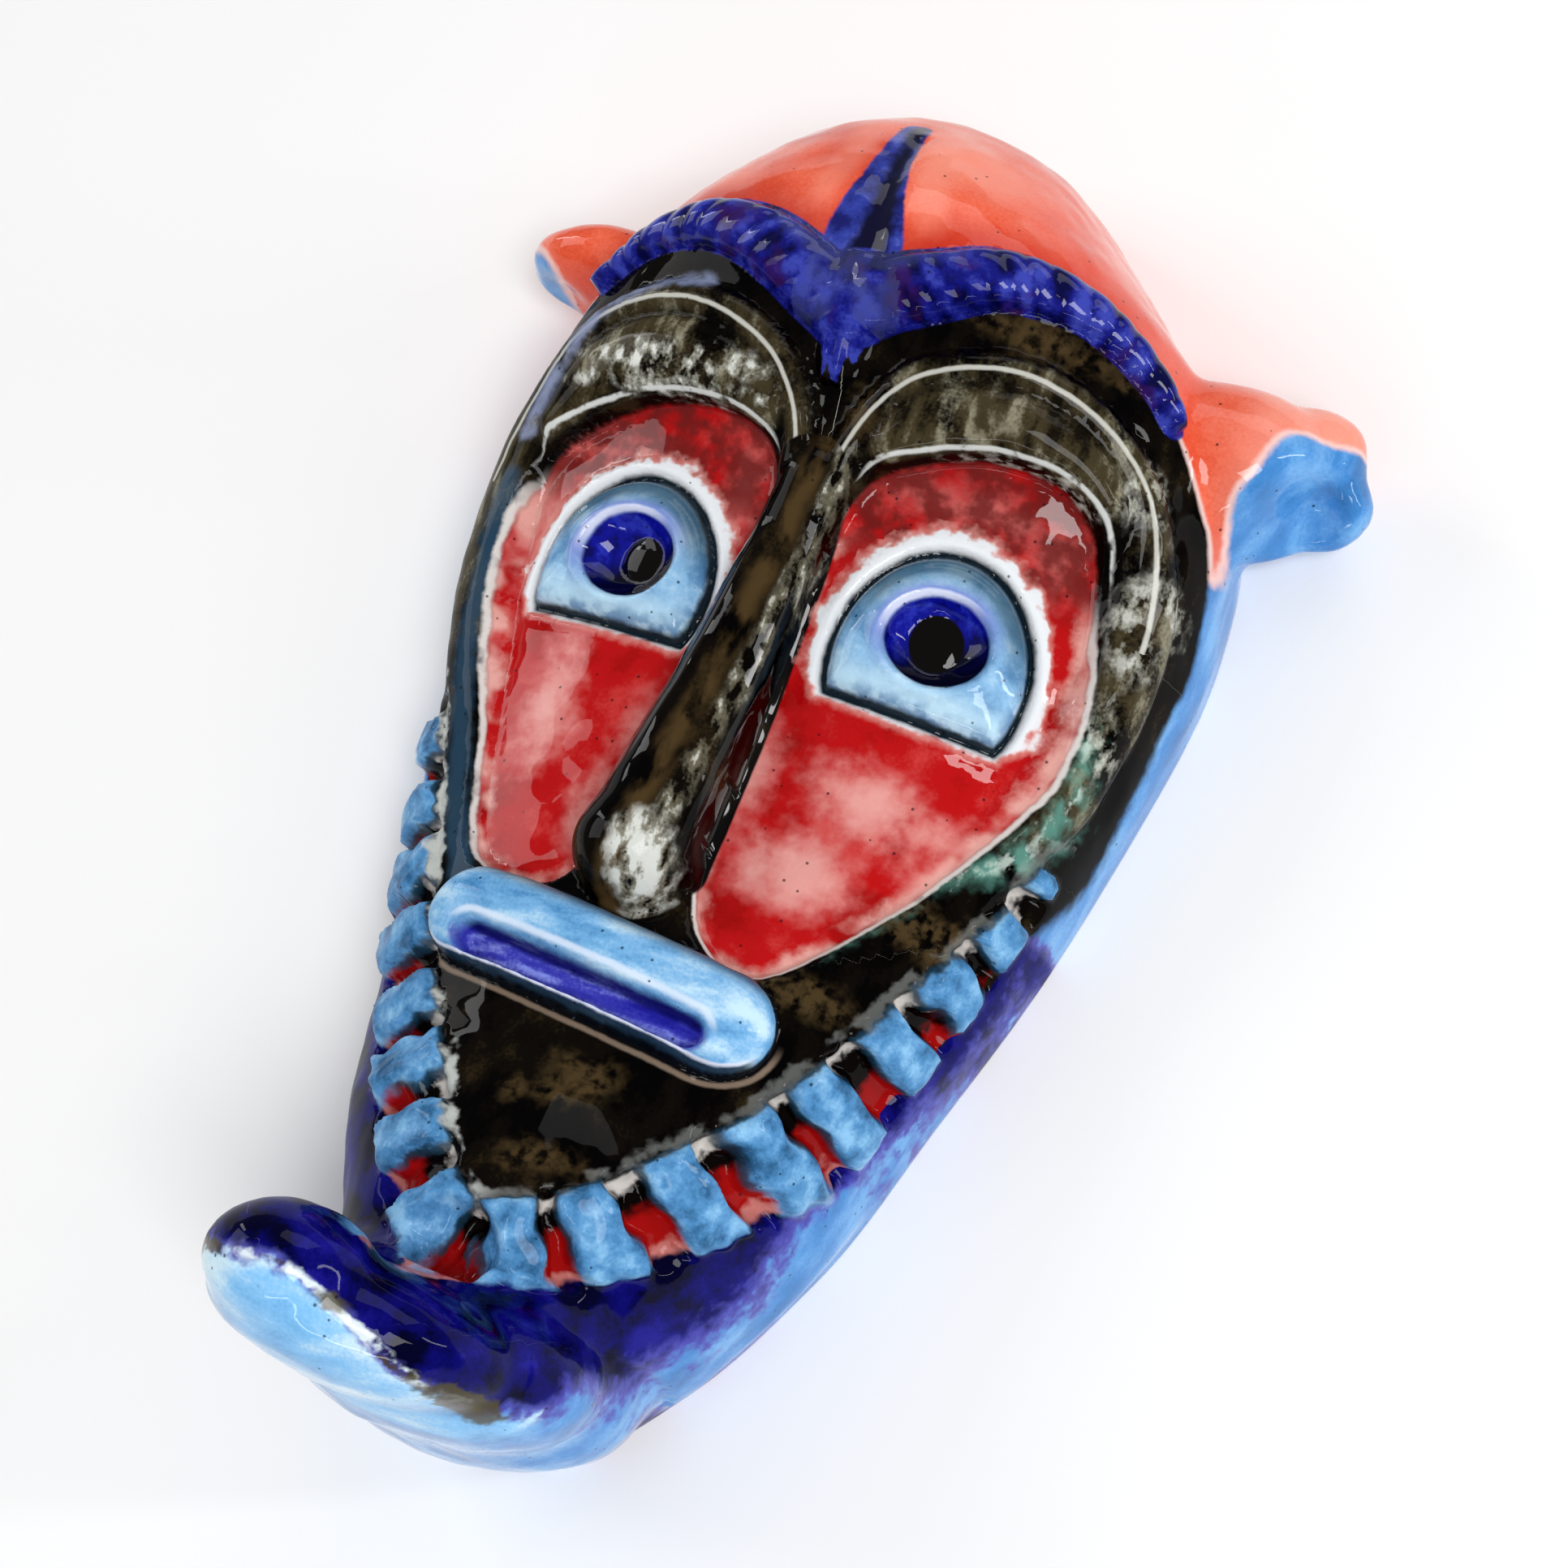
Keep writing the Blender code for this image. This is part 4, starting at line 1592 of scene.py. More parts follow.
class Graph:
    """The nodes of one material. A node asked for again with the same inputs is made only once."""

    def __init__(self, name: str) -> None:
        """Starts a material with an empty graph.

        Args:
            name: The material's name.
        """
        self.material = bpy.data.materials.new(name)
        self.material.use_nodes = True
        self.tree = self.material.node_tree
        self.tree.nodes.clear()
        self.made: dict[tuple, Value] = {}
        self.added: dict[str, Value] = {}
        self.place = self.node("ShaderNodeTexCoord", output="Object")

    def node(
        self, kind: str, settings: dict | None = None, inputs: dict | None = None, output: int | str = 0
    ) -> Value:
        """Adds a node, or finds the one that is there already.

        Args:
            kind: The node's type.
            settings: Its properties, set first.
            inputs: A number, a vector, a colour or a Value for its sockets, by name or number.
            output: Which of its outputs is wanted.

        Returns:
            The output, or the input of a node that has no output.
        """
        settings, inputs = settings or {}, inputs or {}
        key = (kind, *settings.items(), *inputs.items(), output)
        if key not in self.made:
            made = self.tree.nodes.new(kind)
            for name, value in settings.items():
                setattr(made, name, value)
            for name, value in inputs.items():
                if isinstance(value, Value):
                    self.tree.links.new(value.socket, made.inputs[name])
                else:
                    made.inputs[name].default_value = value
            self.made[key] = Value(self, made.outputs[output] if made.outputs else made.inputs[0])
        return self.made[key]

    def field(self, name: str) -> Value:
        """A field that the mesh carries, in steps, or that was added to the graph."""
        stored = self.node("ShaderNodeAttribute", {"attribute_name": name}, output="Fac")
        return self.added.get(name, stored)

    def clouds(self, size: float, detail: float, shift: float, stretch: Place = ROUND) -> Value:
        """Soft clouds, about 0.5 in the middle.

        Args:
            size: Their width in millimetres.
            detail: How many finer sizes are added.
            shift: Another pattern for each value.
            stretch: How many times longer they are along each axis.

        Returns:
            The clouds' value.
        """
        scale = tuple(1.0 / (size * MM * factor) for factor in stretch)
        inputs = {"Vector": self.place, "Scale": scale, "Location": (shift, shift * 0.7, shift * 0.3)}
        moved = self.node("ShaderNodeMapping", {}, inputs)
        return self.node("ShaderNodeTexNoise", {}, {"Vector": moved, "Scale": 1.0, "Detail": detail})

    def fine(self) -> Value:
        """The finest unevenness, about 0 in the middle."""
        return self.clouds(0.8, 3.0, 0.0) - 0.5

    def small(self) -> Value:
        """Small unevenness, about 0 in the middle."""
        return self.clouds(3.0, 4.0, 2.0) - 0.5

    def grain(self) -> Value:
        """What roughens the borders of the glazes' clouds."""
        return self.fine() * 0.18

    def edge(self) -> Value:
        """How far the borders of the brushed coats wander."""
        return self.small() * 1.6 + (self.clouds(9.0, 3.0, 4.0) - 0.5) * 2.2

    def dots(self, spacing: float, radius: float, share: float) -> Value:
        """Small round dots, 1 inside them.

        Args:
            spacing: Their distance in millimetres.
            radius: Their radius, as a share of the spacing.
            share: How many of the places have one.

        Returns:
            The dots' value.
        """
        inputs = {"Vector": self.place, "Scale": 1.0 / (spacing * MM)}
        cells = self.node("ShaderNodeTexVoronoi", {}, inputs, "Distance")
        colour = Value(self, cells.socket.node.outputs["Color"])
        chance = self.node("ShaderNodeSeparateColor", {}, {0: colour})
        return cells.goes(radius, radius * 0.6) * chance.goes(share, share - 0.01)

    def blend(self, under: str | Value, over: str | Value, share: object) -> Value:
        """One colour laid over another.

        Args:
            under: The colour below, as hex digits or a Value.
            over: The colour above.
            share: How much of the upper one shows.

        Returns:
            The blended colour.
        """
        pair = [linear(colour) if isinstance(colour, str) else colour for colour in (under, over)]
        return self.node("ShaderNodeMix", {"data_type": "RGBA"}, {0: share, 6: pair[0], 7: pair[1]}, 2)

    def finish(self, inputs: dict, height: Value | None = None, rise: float = 0.0) -> bpy.types.Material:
        """Ends the graph with the surface.

        Args:
            inputs: What the surface's sockets are given.
            height: The surface's fine bumps, if it has any.
            rise: How high a bump of 1 stands, in millimetres.

        Returns:
            The material.
        """
        if height is not None:
            bumps = {"Strength": 1.0, "Distance": rise * MM, "Height": height}
            inputs = inputs | {"Normal": self.node("ShaderNodeBump", {}, bumps)}
        surface = self.node("ShaderNodeBsdfPrincipled", {}, inputs)
        self.node("ShaderNodeOutputMaterial", {}, {"Surface": surface})
        return self.material


@dataclass(frozen=True)
class Glaze:
    """A glaze in three depths: pooled, as brushed, and broken thin over edges."""

    pooled: str
    brushed: str
    thin: str
    cloud: float = 9.0
    pooled_to: float = 0.46
    thin_from: float = 0.58
    softness: float = 0.1
    shift: float = 0.0
    stretch: Place = ROUND
    thinness: float = 0.0
    thinned_by: str = ""
    thinning: float = 0.0
    detail: float = 4.0

    def laid(self, graph: Graph, grain: Value) -> Value:
        """The glaze's colour.

        Args:
            graph: The graph to add it to.
            grain: Added to roughen the borders of the clouds.

        Returns:
            The colour.
        """
        depth = graph.clouds(self.cloud, self.detail, self.shift, self.stretch) + self.thinness + grain
        if self.thinned_by:
            depth = depth + graph.field(self.thinned_by) * self.thinning
        half = self.softness / 2
        brushed = depth.goes(self.pooled_to - half, self.pooled_to + half)
        thin = depth.goes(self.thin_from - half, self.thin_from + half)
        return graph.blend(graph.blend(self.pooled, self.brushed, brushed), self.thin, thin)


@dataclass(frozen=True)
class Mottle:
    """Clouds that split a coat into patches: none of it shows where they are at bare, and all of it at
    full.
    """

    size: float
    bare: float
    full: float
    shift: float
    detail: float = 4.0
    stretch: Place = ROUND
    grainy: bool = False

    def share(self, graph: Graph) -> Value:
        """How much of the coat shows.

        Args:
            graph: The graph to add it to.

        Returns:
            The share, from 0 to 1.
        """
        clouds = graph.clouds(self.size, self.detail, self.shift, self.stretch)
        if self.grainy:
            clouds = clouds + graph.grain()
        return clouds.goes(self.bare, self.full)


@dataclass(frozen=True)
class Within:
    """A soft border, from none of a coat where a field of the mesh is at start to all of it at end.

    Rough and fine say how far the border wanders, middle measures both ways from that value, and least
    is the share that shows beyond the border.
    """

    of: str
    start: float
    end: float
    rough: float = 0.0
    middle: float | None = None
    fine: float = 0.0
    least: float = 0.0

    def share(self, graph: Graph) -> Value:
        """How much of the coat shows.

        Args:
            graph: The graph to add it to.

        Returns:
            The share, from 0 to 1.
        """
        distance = graph.field(self.of)
        if self.rough:
            distance = distance + graph.edge() * self.rough
        if self.fine:
            distance = distance + graph.grain() * self.fine
        if self.middle is not None:
            distance = abs(distance - self.middle)
        share = distance.goes(self.start, self.end)
        return share * (1.0 - self.least) + self.least if self.least else share


@dataclass(frozen=True)
class Coat:
    """A colour or a glaze, with the coats on top of it, brushed on where every border lets it show."""

    colour: str | Glaze
    where: tuple[Within | Mottle, ...]
    strength: float = 1.0
    coats: tuple["Coat", ...] = ()

    def over(self, graph: Graph, base: str | Value) -> Value:
        """Lays the coat over what is there.

        Args:
            graph: The graph to add it to.
            base: The colour below.

        Returns:
            The colour with the coat on it.
        """
        colour = self.colour if isinstance(self.colour, str) else self.colour.laid(graph, graph.grain())
        for coat in self.coats:
            colour = coat.over(graph, colour)
        share = math.prod([border.share(graph) for border in self.where], start=self.strength)
        return graph.blend(base, colour, share)


def soft(size: float, bare: float, full: float, shift: float) -> Mottle:
    """Clouds with less detail."""
    return Mottle(size, bare, full, shift, detail=3.0)


def flecks(bare: float, full: float) -> Mottle:
    """The small flecks into which the frame's pale coats, glaze and painted sheen alike, are split."""
    return Mottle(3.2, bare, full, 36.0, stretch=(1.0, 1.5, 1.0), grainy=True)


def streaks(bare: float, full: float) -> Mottle:
    """The streaks that run along the nose, in pale glaze and painted highlight."""
    return Mottle(4.0, bare, full, 31.0, stretch=(0.7, 2.2, 1.0), grainy=True)


CORAL = Glaze("d6401f", "f26444", "fc9078", 30.0, 0.42, 0.58, 0.26)
COBALT = Glaze(
    "02033c", "14187e", "3b45ae", 7.0, 0.44, 0.6, 0.2, 3.0,
    thinness=-0.0924, thinned_by="strand", thinning=-0.14,
)
BLACK = Glaze("010000", "0b0704", "2c2212", 9.0, 0.5, 0.66, 0.16, 5.0, (1.0, 1.8, 1.0))
OLIVE = Glaze(
    "140f08", "413926", "8d8872", 6.0, 0.42, 0.62, 0.2, 6.0, (0.7, 2.4, 1.0),
    thinned_by="worn", thinning=0.03,
)
CRIMSON = Glaze("a00404", "ba0c10", "cc3a38", 14.0, 0.4, 0.64, 0.2, 7.0)
SKY = Glaze("3672b0", "478cd2", "78b4ec", 9.0, 0.38, 0.6, 0.3, 9.0, (1.0, 2.6, 1.0), thinness=0.02)
PROW = Glaze("5c9cd6", "86c6f8", "d6f2ff", 11.0, 0.4, 0.6, 0.24, 10.0, (2.4, 0.9, 1.0))
JAW = Glaze("000022", "070662", "1a1688", 9.0, 0.45, 0.62, 0.2, 11.0)
TOOTH = Glaze("2a5a84", "5490c4", "8cc2ea", 6.0, 0.4, 0.6, 0.26, 12.0)
EYEBALL = Glaze("5c8fbe", "8cbce4", "c0e3f9", 8.0, 0.4, 0.6, 0.24, 13.0)
IRIS = Glaze("05065c", "0c1192", "2630b4", 4.0, 0.42, 0.6, 0.16, 15.0)
STRIPE = Glaze("181c66", "2f3c9a", "5562c0", 7.0, 0.42, 0.6, 0.2, 17.0)
LIPS = Glaze("3d7fb8", "79b4e4", "c8e8fb", 8.0, 0.4, 0.58, 0.24, 19.0, (2.8, 0.9, 1.0))
THROAT = Glaze("20209a", "3f40b6", "8f9cf0", 5.0, 0.42, 0.6, 0.2, 23.0, (3.6, 0.7, 1.0))

BELOW_TOP = Within("up", 52, 40)
LESS_ON_TOP = replace(BELOW_TOP, least=0.5294)
LEAST_ON_TOP = replace(BELOW_TOP, least=0.2667)
NEAR_BRAID = Within("braid", 11, 0.5, 1.2)
OFF_BRAID = Within("braid", 0.5, 11, 1.2)
# Where the frame shows pale, thin glaze and a painted sheen.
BREAK_AND_SHEEN = Within("break_and_sheen", 2.4, -0.8, 2.0)
CLEAR_OF_CHEEK = Within("cheek", -0.8, -2.2)
NOSE_SIDE = Within("nose_right", 3, 0.6, 1.2, 6.6)
NOSE_TIP = Within("nose_tip", 2.4, -1.6, 2.4)
LOWER_LIP = Within("mouth_above", -3, -7)


@dataclass(frozen=True)
class GlazedClay:
    """All the glazes of the outside, brushed on within the modelling's edges and fired glossy."""

    outside: tuple[Coat, ...] = (
        Coat(PROW, (Within("crest", 34, 18), Within("level", 20, 45))),
        Coat("f6c9c2", (Within("orange", 2.4, 0.8, 0.8), Within("level", 8, 20))),
        Coat(CORAL, (Within("orange", 0.9, -0.5, 0.8),), coats=(
            Coat("bb1f12", (NEAR_BRAID, Within("across", 72, 58)), 0.75),
            Coat("ffa08a", (Within("stripe", 6, 1, middle=6.0), OFF_BRAID), 0.4),
            Coat("e8452e", (Within("across", 5, 45), Within("across", 84, 70)), 0.4),
            Coat("ffb3a0", (Within("across", 80, 92),), 0.45),
        )),
        Coat(STRIPE, (Within("stripe", 0.6, -0.4, 0.7),)),
        Coat("0b0b2c", (Within("stripe_core", 1.4, -1.2, 1.2),)),
        Coat("4a3cae", (Within("deep", 2.2, 0.4, 2.6),), 0.9),
        Coat(JAW, (Within("deep", 1.2, -1.6, 2.6),)),
    )
    frame: tuple[Coat, ...] = (
        Coat("e8e4e0", (Within("face", 1.5, 0.6, 0.4), Within("orange", 1, -1)), 0.7),
        Coat(BLACK, (Within("face", 0.7, -0.3, 0.4),), coats=(
            Coat(OLIVE, (Within("relief", 1.6, 4.6), Mottle(15.0, 0.38, 0.56, 8.0, grainy=True))),
            Coat("4f3f26", (Within("bronze", 2.4, -2.4, 3.0), Mottle(2.6, 0.36, 0.6, 38.0)), 0.75),
            # Grey and white flecks on the dark frame: glaze broken thin, and a painted sheen, stronger
            # on the left side.
            Coat("a9a99c", (BREAK_AND_SHEEN, flecks(0.44, 0.58)), 0.75),
            Coat("e6e8e2", (BREAK_AND_SHEEN, flecks(0.55, 0.66), Within("across", 10, -10, least=0.5)), 0.9),
            # White line along the brow roll's crest: a painted highlight, and the glaze broken thin
            # there.
            Coat("d4d4cb", (Within("ridge", 0.7, 0.2, 0.2, 0.0),), 0.8),
            # Painted reflection: a lilac-grey band of soft light on the left brow roll.
            Coat("8f9abc", (Within("lilac_reflection", 3.2, 0.4, 1.2), soft(9.0, 0.32, 0.56, 39.0)), 0.8),
            Coat("2c4a62", (Within("left_streak", 4.5, 1, 1.6),), 0.75),
            Coat("5d9486", (Within("teal", 4.4, 0, 2.6), Mottle(6.0, 0.36, 0.6, 37.0)), 0.85),
            Coat("cfe0d6", (Within("teal", 2, 0, 2.0), flecks(0.46, 0.58)), 0.6),
            Coat("080705", (Within("black_spot", 0.6, -0.4, 1.2),)),
        )),
    )
    cheeks: tuple[Coat, ...] = (
        # White line along the lower edge of the brow pads: a painted highlight, and the glaze broken
        # thin there.
        Coat("dfe2de", (
            Within("cheek", 0.75, 0.25, 0.3, 2.1), Within("pad_share", -0.45, -0.7),
            soft(6.0, 0.34, 0.46, 26.0),
        ), 0.95),
        Coat("e6e1dc", (
            Within("cheek", 0.6, 0.15, 0.35, 0.1), BELOW_TOP, soft(9.0, 0.2, 0.42, 28.0),
        ), 0.9),
        Coat(CRIMSON, (Within("cheek", 0.1, -0.6, 0.35),), coats=(
            Coat("d87672", (Within("bloom", 4, -3, 4.5, fine=5.0), LESS_ON_TOP), 0.85),
            Coat("ecaca4", (Within("bloom", 0.5, -7.5, 4.5, fine=5.0), LEAST_ON_TOP), 0.75),
            Coat("6a1a18", (Within("up", 40, 52), Mottle(6.0, 0.34, 0.58, 22.0)), 0.85),
            Coat("eab2a8", (
                Within("cheek", -4.4, -0.4, 2.4, fine=6.0), BELOW_TOP,
                Mottle(11.0, 0.4, 0.56, 24.0, 2.0),
            ), 0.85),
        )),
    )
    nose: tuple[Coat, ...] = (
        Coat(replace(BLACK, thinness=0.02), (Within("nose", 1.7, 1.1, 0.15),), coats=(
            Coat("4c3b22", (
                Within("nose_right", 4.5, 0.5, 1.2, 1.0),
                Mottle(9.0, 0.38, 0.56, 34.0, stretch=(0.7, 1.6, 1.0)),
            ), 0.9),
            # Pale streaks along the nose's right flank: a painted highlight, and glaze broken thin.
            Coat("6f6a58", (NOSE_SIDE, streaks(0.42, 0.56)), 0.8),
            Coat("c9c9be", (NOSE_SIDE, streaks(0.56, 0.66)), 0.85),
            # Grey and white at the nose's tip: a painted highlight, and glaze broken thin.
            Coat("8d897a", (NOSE_TIP, streaks(0.32, 0.46)), 0.9),
            Coat("dfe2dc", (NOSE_TIP, streaks(0.44, 0.56)), 0.88),
        )),
    )
    eyes: tuple[Coat, ...] = (
        Coat("e39a92", (Within("eye_white", 2.6, 0), CLEAR_OF_CHEEK), 0.75),
        Coat("eef2f6", (Within("eye_white", 0.7, -0.8), CLEAR_OF_CHEEK)),
        Coat(EYEBALL, (Within("eye", 0, -0.8),), coats=(
            Coat("cdefff", (Within("below_lid", -10, -3),), 0.7),
            Coat("3f78ac", (Within("eye", -5, -0.5, 1.5), soft(5.0, 0.4, 0.6, 35.0)), 0.8),
            Coat("35586f", (Within("below_lid", -12, -26), Within("eye", -9, -2.5)), 0.9),
        )),
        Coat("0a1c28", (Within("eye", 1.5, 0.5, 0.4, 0.0),)),
        # Painted sheen: a lilac band round the side of the iris that faces the light.
        Coat("7585d0", (
            Within("iris", 5, 1, 0.3), Within("iris_shade", 0.6, -0.5), Within("eye", 0, -2),
        ), 0.9),
        # Painted highlight: a white crescent on the iris's rim, on the side that faces the light.
        Coat("e0e6fd", (
            Within("iris", 1.2, 0.3, 0.3, 0.9), Within("iris_shade", -0.2, -0.8), Within("eye", 0, -1),
        ), 0.95),
        Coat(IRIS, (Within("iris", 0.4, -0.4, 0.3), Within("eye", 0.2, -0.4)), coats=(
            # Painted shade on the side of the iris away from the light.
            Coat("02031c", (Within("iris_shade", -0.5, 0.55),)),
        )),
        Coat("050302", (Within("pupil", 0.3, -0.3),)),
    )
    mouth: tuple[Coat, ...] = (
        Coat("8a7868", (Within("mouth", 0.9, 0.2, 0.25, 1.7), Within("mouth_above", 2, -4)), 0.85),
        Coat(LIPS, (Within("mouth", 0.3, -0.5, 0.25),), coats=(
            Coat("4a5560", (Within("mouth_above", 6, 10.5),), 0.85),
            Coat("dbe9fb", (Within("slot", 1.3, 0.3, 0.3, 1.5), Within("mouth_above", -5, -1.5)), 0.8),
            Coat("3f40a8", (Within("slot", 1.6, 0.3, 0.3), LOWER_LIP), 0.85),
            Coat("dfe4f6", (Within("mouth", 0.5, 0.15, 0.25, -1.5), LOWER_LIP), 0.9),
            Coat("12141e", (Within("mouth", -1.6, -1, 0.25), LOWER_LIP), 0.9),
        )),
        Coat("06080e", (Within("mouth", 0.9, 0.3, 0.25, 0.2),), 0.9),
        Coat(THROAT, (Within("slot", 0.3, -0.5, 0.2),), coats=(
            Coat("0a0a52", (Within("mouth_above", -4.6, -3.4, 0.4),), 0.85),
        )),
    )
    teeth: tuple[Coat, ...] = (
        Coat("a00c0c", (Within("row", 0, -0.7, 0.7),), coats=(
            Coat("070302", (Within("row_out", -1, 2, 3.0),)),
            Coat("dcd6d0", (Within("row_out", 5, 6.6, 3.0),), 0.9),
            Coat("c87f78", (Within("row_out", -5.6, -7.2, 2.4),), 0.85),
        )),
        Coat(TOOTH, (Within("tooth", 0.6, -0.5, 0.7),)),
        Coat("0f2733", (Within("tooth", 0.7, 0.1, 0.7, 0.1), Within("row_out", -6, -2)), 0.8),
        Coat("c4c8c4", (
            Within("row_out", 1.8, 0.4, 2.4, 9.4), Within("across", 2, -8, least=0.2),
            soft(8.0, 0.42, 0.54, 25.0),
        ), 0.9),
    )
    crest: tuple[Coat, ...] = (
        Coat("e0edf6", (Within("crest", 1.3, 0.4, 1.4), Mottle(6.0, 0.48, 0.58, 27.0))),
        Coat("4a3d22", (Within("crest", 1, 0.3, 1.4), Mottle(6.0, 0.5, 0.43, 27.0)), 0.9),
        Coat("4b4426", (Within("brown", 0.8, -0.4, 2.2), Within("crest", 9, 6, 1.4)), 0.9),
    )
    braid: tuple[Coat, ...] = (
        Coat(COBALT, (Within("braid", 1.3, 0.7, 0.3),), coats=(
            Coat("3a1450", (soft(10.0, 0.54, 0.68, 29.0),), 0.6),
            Coat("464c7c", (Within("braid_up", -2, -5.5), soft(7.0, 0.36, 0.6, 30.0)), 0.45),
        )),
    )
    worn_relief: Plan = (3.0, 7.0)
    white_below: float = 1.5
    white_above: float = 3.1
    white_dabs: float = 7.0
    dab_size: float = 4.2
    dab_shift: float = 33.0
    white_rough: float = 1.6
    white_fine: float = 3.0
    lid_reach: Plan = (1.0, -5.0)
    dull_face: float = 0.65
    dull_jaw: float = 0.6
    pit_spacing: float = 3.4
    pit_radius: float = 0.12
    pit_share: float = 0.45
    pit_colour: str = "060a14"
    pit_strength: float = 0.75
    bumps: Place = (0.9, 0.25, 0.5)
    bump_height: float = 0.25
    under_gloss: Plan = (0.3, 0.25)
    gloss: float = 0.03
    gloss_index: float = 1.34

    def add_fields(self, graph: Graph) -> None:
        """Adds the fields that are worked out from others: the worn relief and the white round the eyes.

        Args:
            graph: The graph to add them to.
        """
        above = graph.field("below_lid").goes(*self.lid_reach)
        dabs = graph.clouds(self.dab_size, 2.0, self.dab_shift) - 0.5
        width = self.white_below + above * self.white_above + graph.edge() * self.white_rough
        width = width + dabs * self.white_dabs * above + graph.grain() * self.white_fine
        graph.added["eye_white"] = graph.field("eye") - width
        graph.added["worn"] = graph.field("relief").goes(*self.worn_relief)

    def shine(self, graph: Graph) -> Value:
        """How glossy the glaze is: duller on the face's dark frame and on the jaw.

        Args:
            graph: The graph to add it to.

        Returns:
            The coat's weight.
        """
        on_face = graph.field("face").goes(0.7, -0.3) * graph.field("cheek").goes(-0.3, 0.3)
        on_jaw = graph.field("deep").goes(1.0, -1.0) * (1.0 - on_face)
        return 1.0 - on_face * self.dull_face - on_jaw * self.dull_jaw

    def build(self) -> bpy.types.Material:
        """Makes the material.

        Returns:
            The material.
        """
        graph = Graph("glazed_clay")
        self.add_fields(graph)
        base = SKY.laid(graph, graph.grain())
        areas = (
            self.outside, self.frame, self.cheeks, self.nose, self.eyes, self.mouth, self.teeth,
            self.crest, self.braid,
        )
        for coat in itertools.chain(*areas):
            base = coat.over(graph, base)
        pits = graph.dots(self.pit_spacing, self.pit_radius, self.pit_share)
        small, fine, pit = self.bumps
        height = graph.small() * small + graph.fine() * fine - pits * pit
        return graph.finish(
            {
                "Base Color": graph.blend(base, self.pit_colour, pits * self.pit_strength),
                "Roughness": self.under_gloss[0] + graph.small() * self.under_gloss[1],
                "Coat Weight": self.shine(graph),
                "Coat Roughness": self.gloss,
                "Coat IOR": self.gloss_index,
                "Specular IOR Level": 0.0,
            },
            height,
            self.bump_height,
        )


@dataclass(frozen=True)
class BareClay:
    """Fired clay without glaze, inside and on the rim."""

    clay: Glaze = Glaze("a08468", "b99c7e", "cdb295", 14.0, 0.44, 0.58, 0.16, 41.0)
    grains: Place = (0.9, 4.0, 43.0)
    graininess: float = 0.2
    roughness: Plan = (0.82, 0.2)
    rise: float = 0.4

    def build(self) -> bpy.types.Material:
        """Makes the material.

        Returns:
            The material.
        """
        graph = Graph("bare_clay")
        fine = graph.clouds(*self.grains) - 0.5
        inputs = {
            "Base Color": self.clay.laid(graph, fine * self.graininess),
            "Roughness": self.roughness[0] + fine * self.roughness[1],
        }
        return graph.finish(inputs, fine, self.rise)


@dataclass(frozen=True)
class PaleFloor:
    """The plain pale floor."""

    shade: str = "fbfbfb"
    roughness: float = 0.9

    def build(self) -> bpy.types.Material:
        """The floor's material."""
        inputs = {"Base Color": linear(self.shade), "Roughness": self.roughness}
        return Graph("pale_floor").finish(inputs)


@dataclass(frozen=True)
class SoftLight:
    """One soft light panel that faces a point of the mask."""

    name: str
    place: Place
    size: Plan
    power: float
    aim: Place = (0.0, 0.0, 0.04)

    def build(self) -> None:
        """Hangs the panel."""
        light = bpy.data.lights.new(self.name, "AREA")
        light.shape = "RECTANGLE"
        light.size, light.size_y = self.size
        light.energy = self.power
        obj = bpy.data.objects.new(self.name, light)
        obj.location = self.place
        towards = Vector(self.aim) - Vector(self.place)
        obj.rotation_euler = towards.to_track_quat("-Z", "Y").to_euler()
        bpy.context.collection.objects.link(obj)


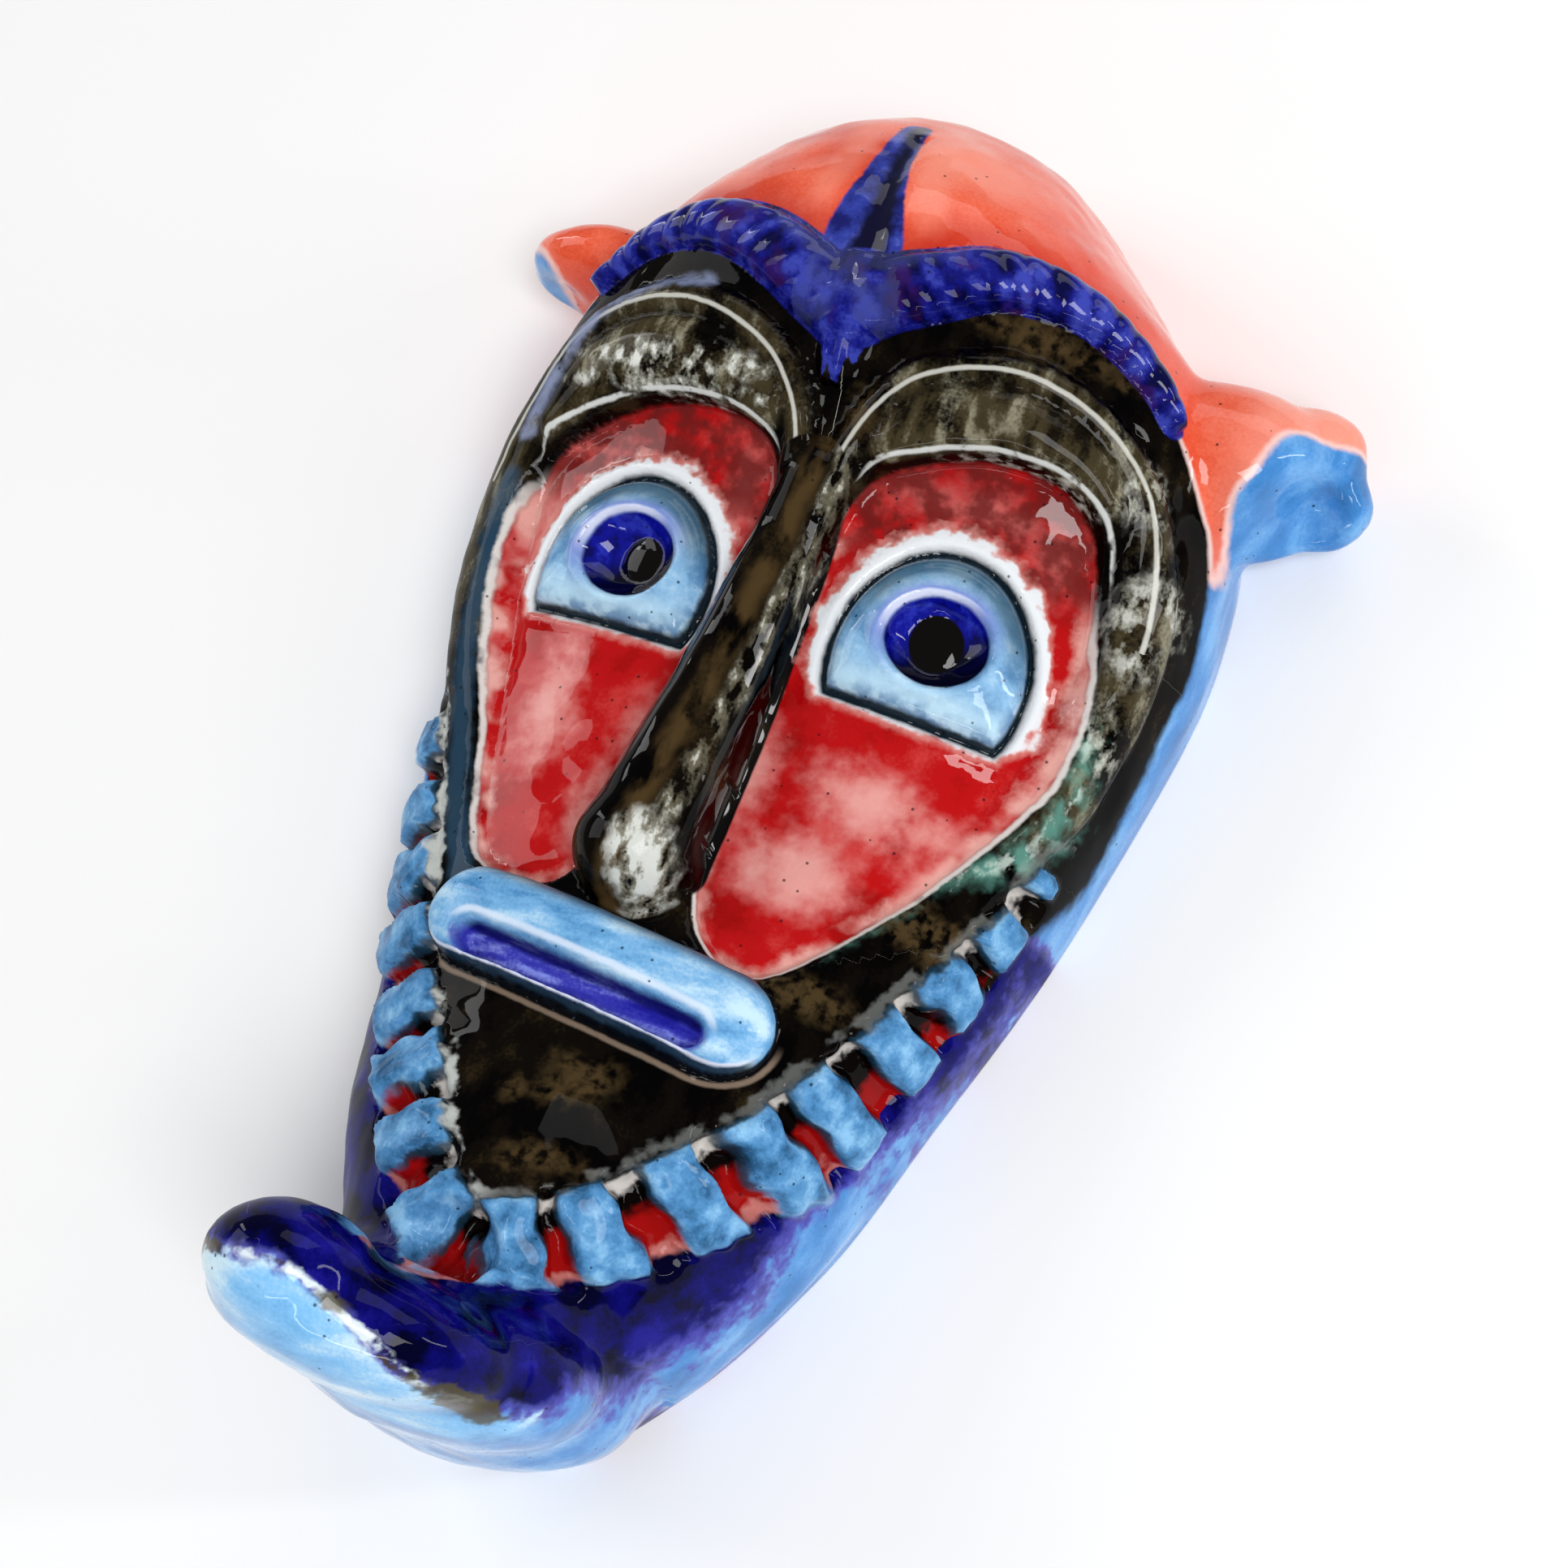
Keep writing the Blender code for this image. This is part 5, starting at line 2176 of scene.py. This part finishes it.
@dataclass(frozen=True)
class Studio:
    """Floor, lights, sky and camera."""

    floor_half: float = 3.0
    camera_place: Place = (0.17145, -0.14715, 0.5187)
    camera_right: Place = (0.9169, 0.3359, -0.2155)
    camera_up: Place = (-0.2506, 0.9049, 0.3441)
    sensor: float = 36.0
    lens: float = 55.9
    sky: float = 0.2
    lights: tuple[SoftLight, ...] = (
        SoftLight("key", (0.75, -0.5, 1.5), (0.7, 0.7), 19.0),
        SoftLight("left_fill", (-1.9, 0.2, 1.15), (1.2, 1.2), 13.0),
        SoftLight("crown_panel", (0.2, 1.3, 0.9), (1.3, 0.7), 5.0),
        SoftLight("left_strip", (-1.1, 0.5, 0.45), (0.08, 0.6), 1.2),
        SoftLight("right_strip", (1.1, 0.3, 0.5), (0.08, 0.7), 3.0),
        SoftLight("chin_strip", (0.1, -1.2, 0.5), (0.6, 0.06), 1.3),
    )

    def floor(self) -> None:
        """Lays the floor."""
        made = bmesh.new()
        bmesh.ops.create_grid(made, x_segments=1, y_segments=1, size=self.floor_half)
        mesh = mesh_of(made, "floor")
        mesh.materials.append(PaleFloor().build())
        obj = bpy.data.objects.new("floor", mesh)
        bpy.context.collection.objects.link(obj)

    def camera(self) -> None:
        """Sets up the camera at the photograph's angle."""
        camera = bpy.data.cameras.new("camera")
        camera.sensor_width = self.sensor
        camera.lens = self.lens
        right, up = Vector(self.camera_right).normalized(), Vector(self.camera_up)
        back = right.cross(up).normalized()
        turn = Matrix((right, back.cross(right), back)).transposed()
        obj = bpy.data.objects.new("camera", camera)
        obj.matrix_world = Matrix.Translation(self.camera_place) @ turn.to_4x4()
        bpy.context.collection.objects.link(obj)
        bpy.context.scene.camera = obj

    def world(self) -> None:
        """Sets an even, pale sky."""
        world = bpy.data.worlds.new("soft_sky")
        world.use_nodes = True
        background = world.node_tree.nodes["Background"]
        background.inputs["Color"].default_value = (1.0, 1.0, 1.0, 1.0)
        background.inputs["Strength"].default_value = self.sky
        bpy.context.scene.world = world
        bpy.context.scene.view_settings.view_transform = "Standard"

    def build(self) -> None:
        """Sets up everything around the mask."""
        self.floor()
        self.camera()
        self.world()
        for light in self.lights:
            light.build()


def main() -> None:
    """Builds the mask and the studio, and hides the imported solid that the mask stands for."""
    logging.basicConfig(level=logging.INFO, format="%(name)s: %(message)s")
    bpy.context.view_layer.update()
    Studio().build()
    mask = Mask().build(GlazedClay().build(), BareClay().build())
    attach(mask, "root")
    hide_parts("mask")
    log.info("%s rides on root and stands for the solid", mask.name)


if __name__ == "__main__":
    main()
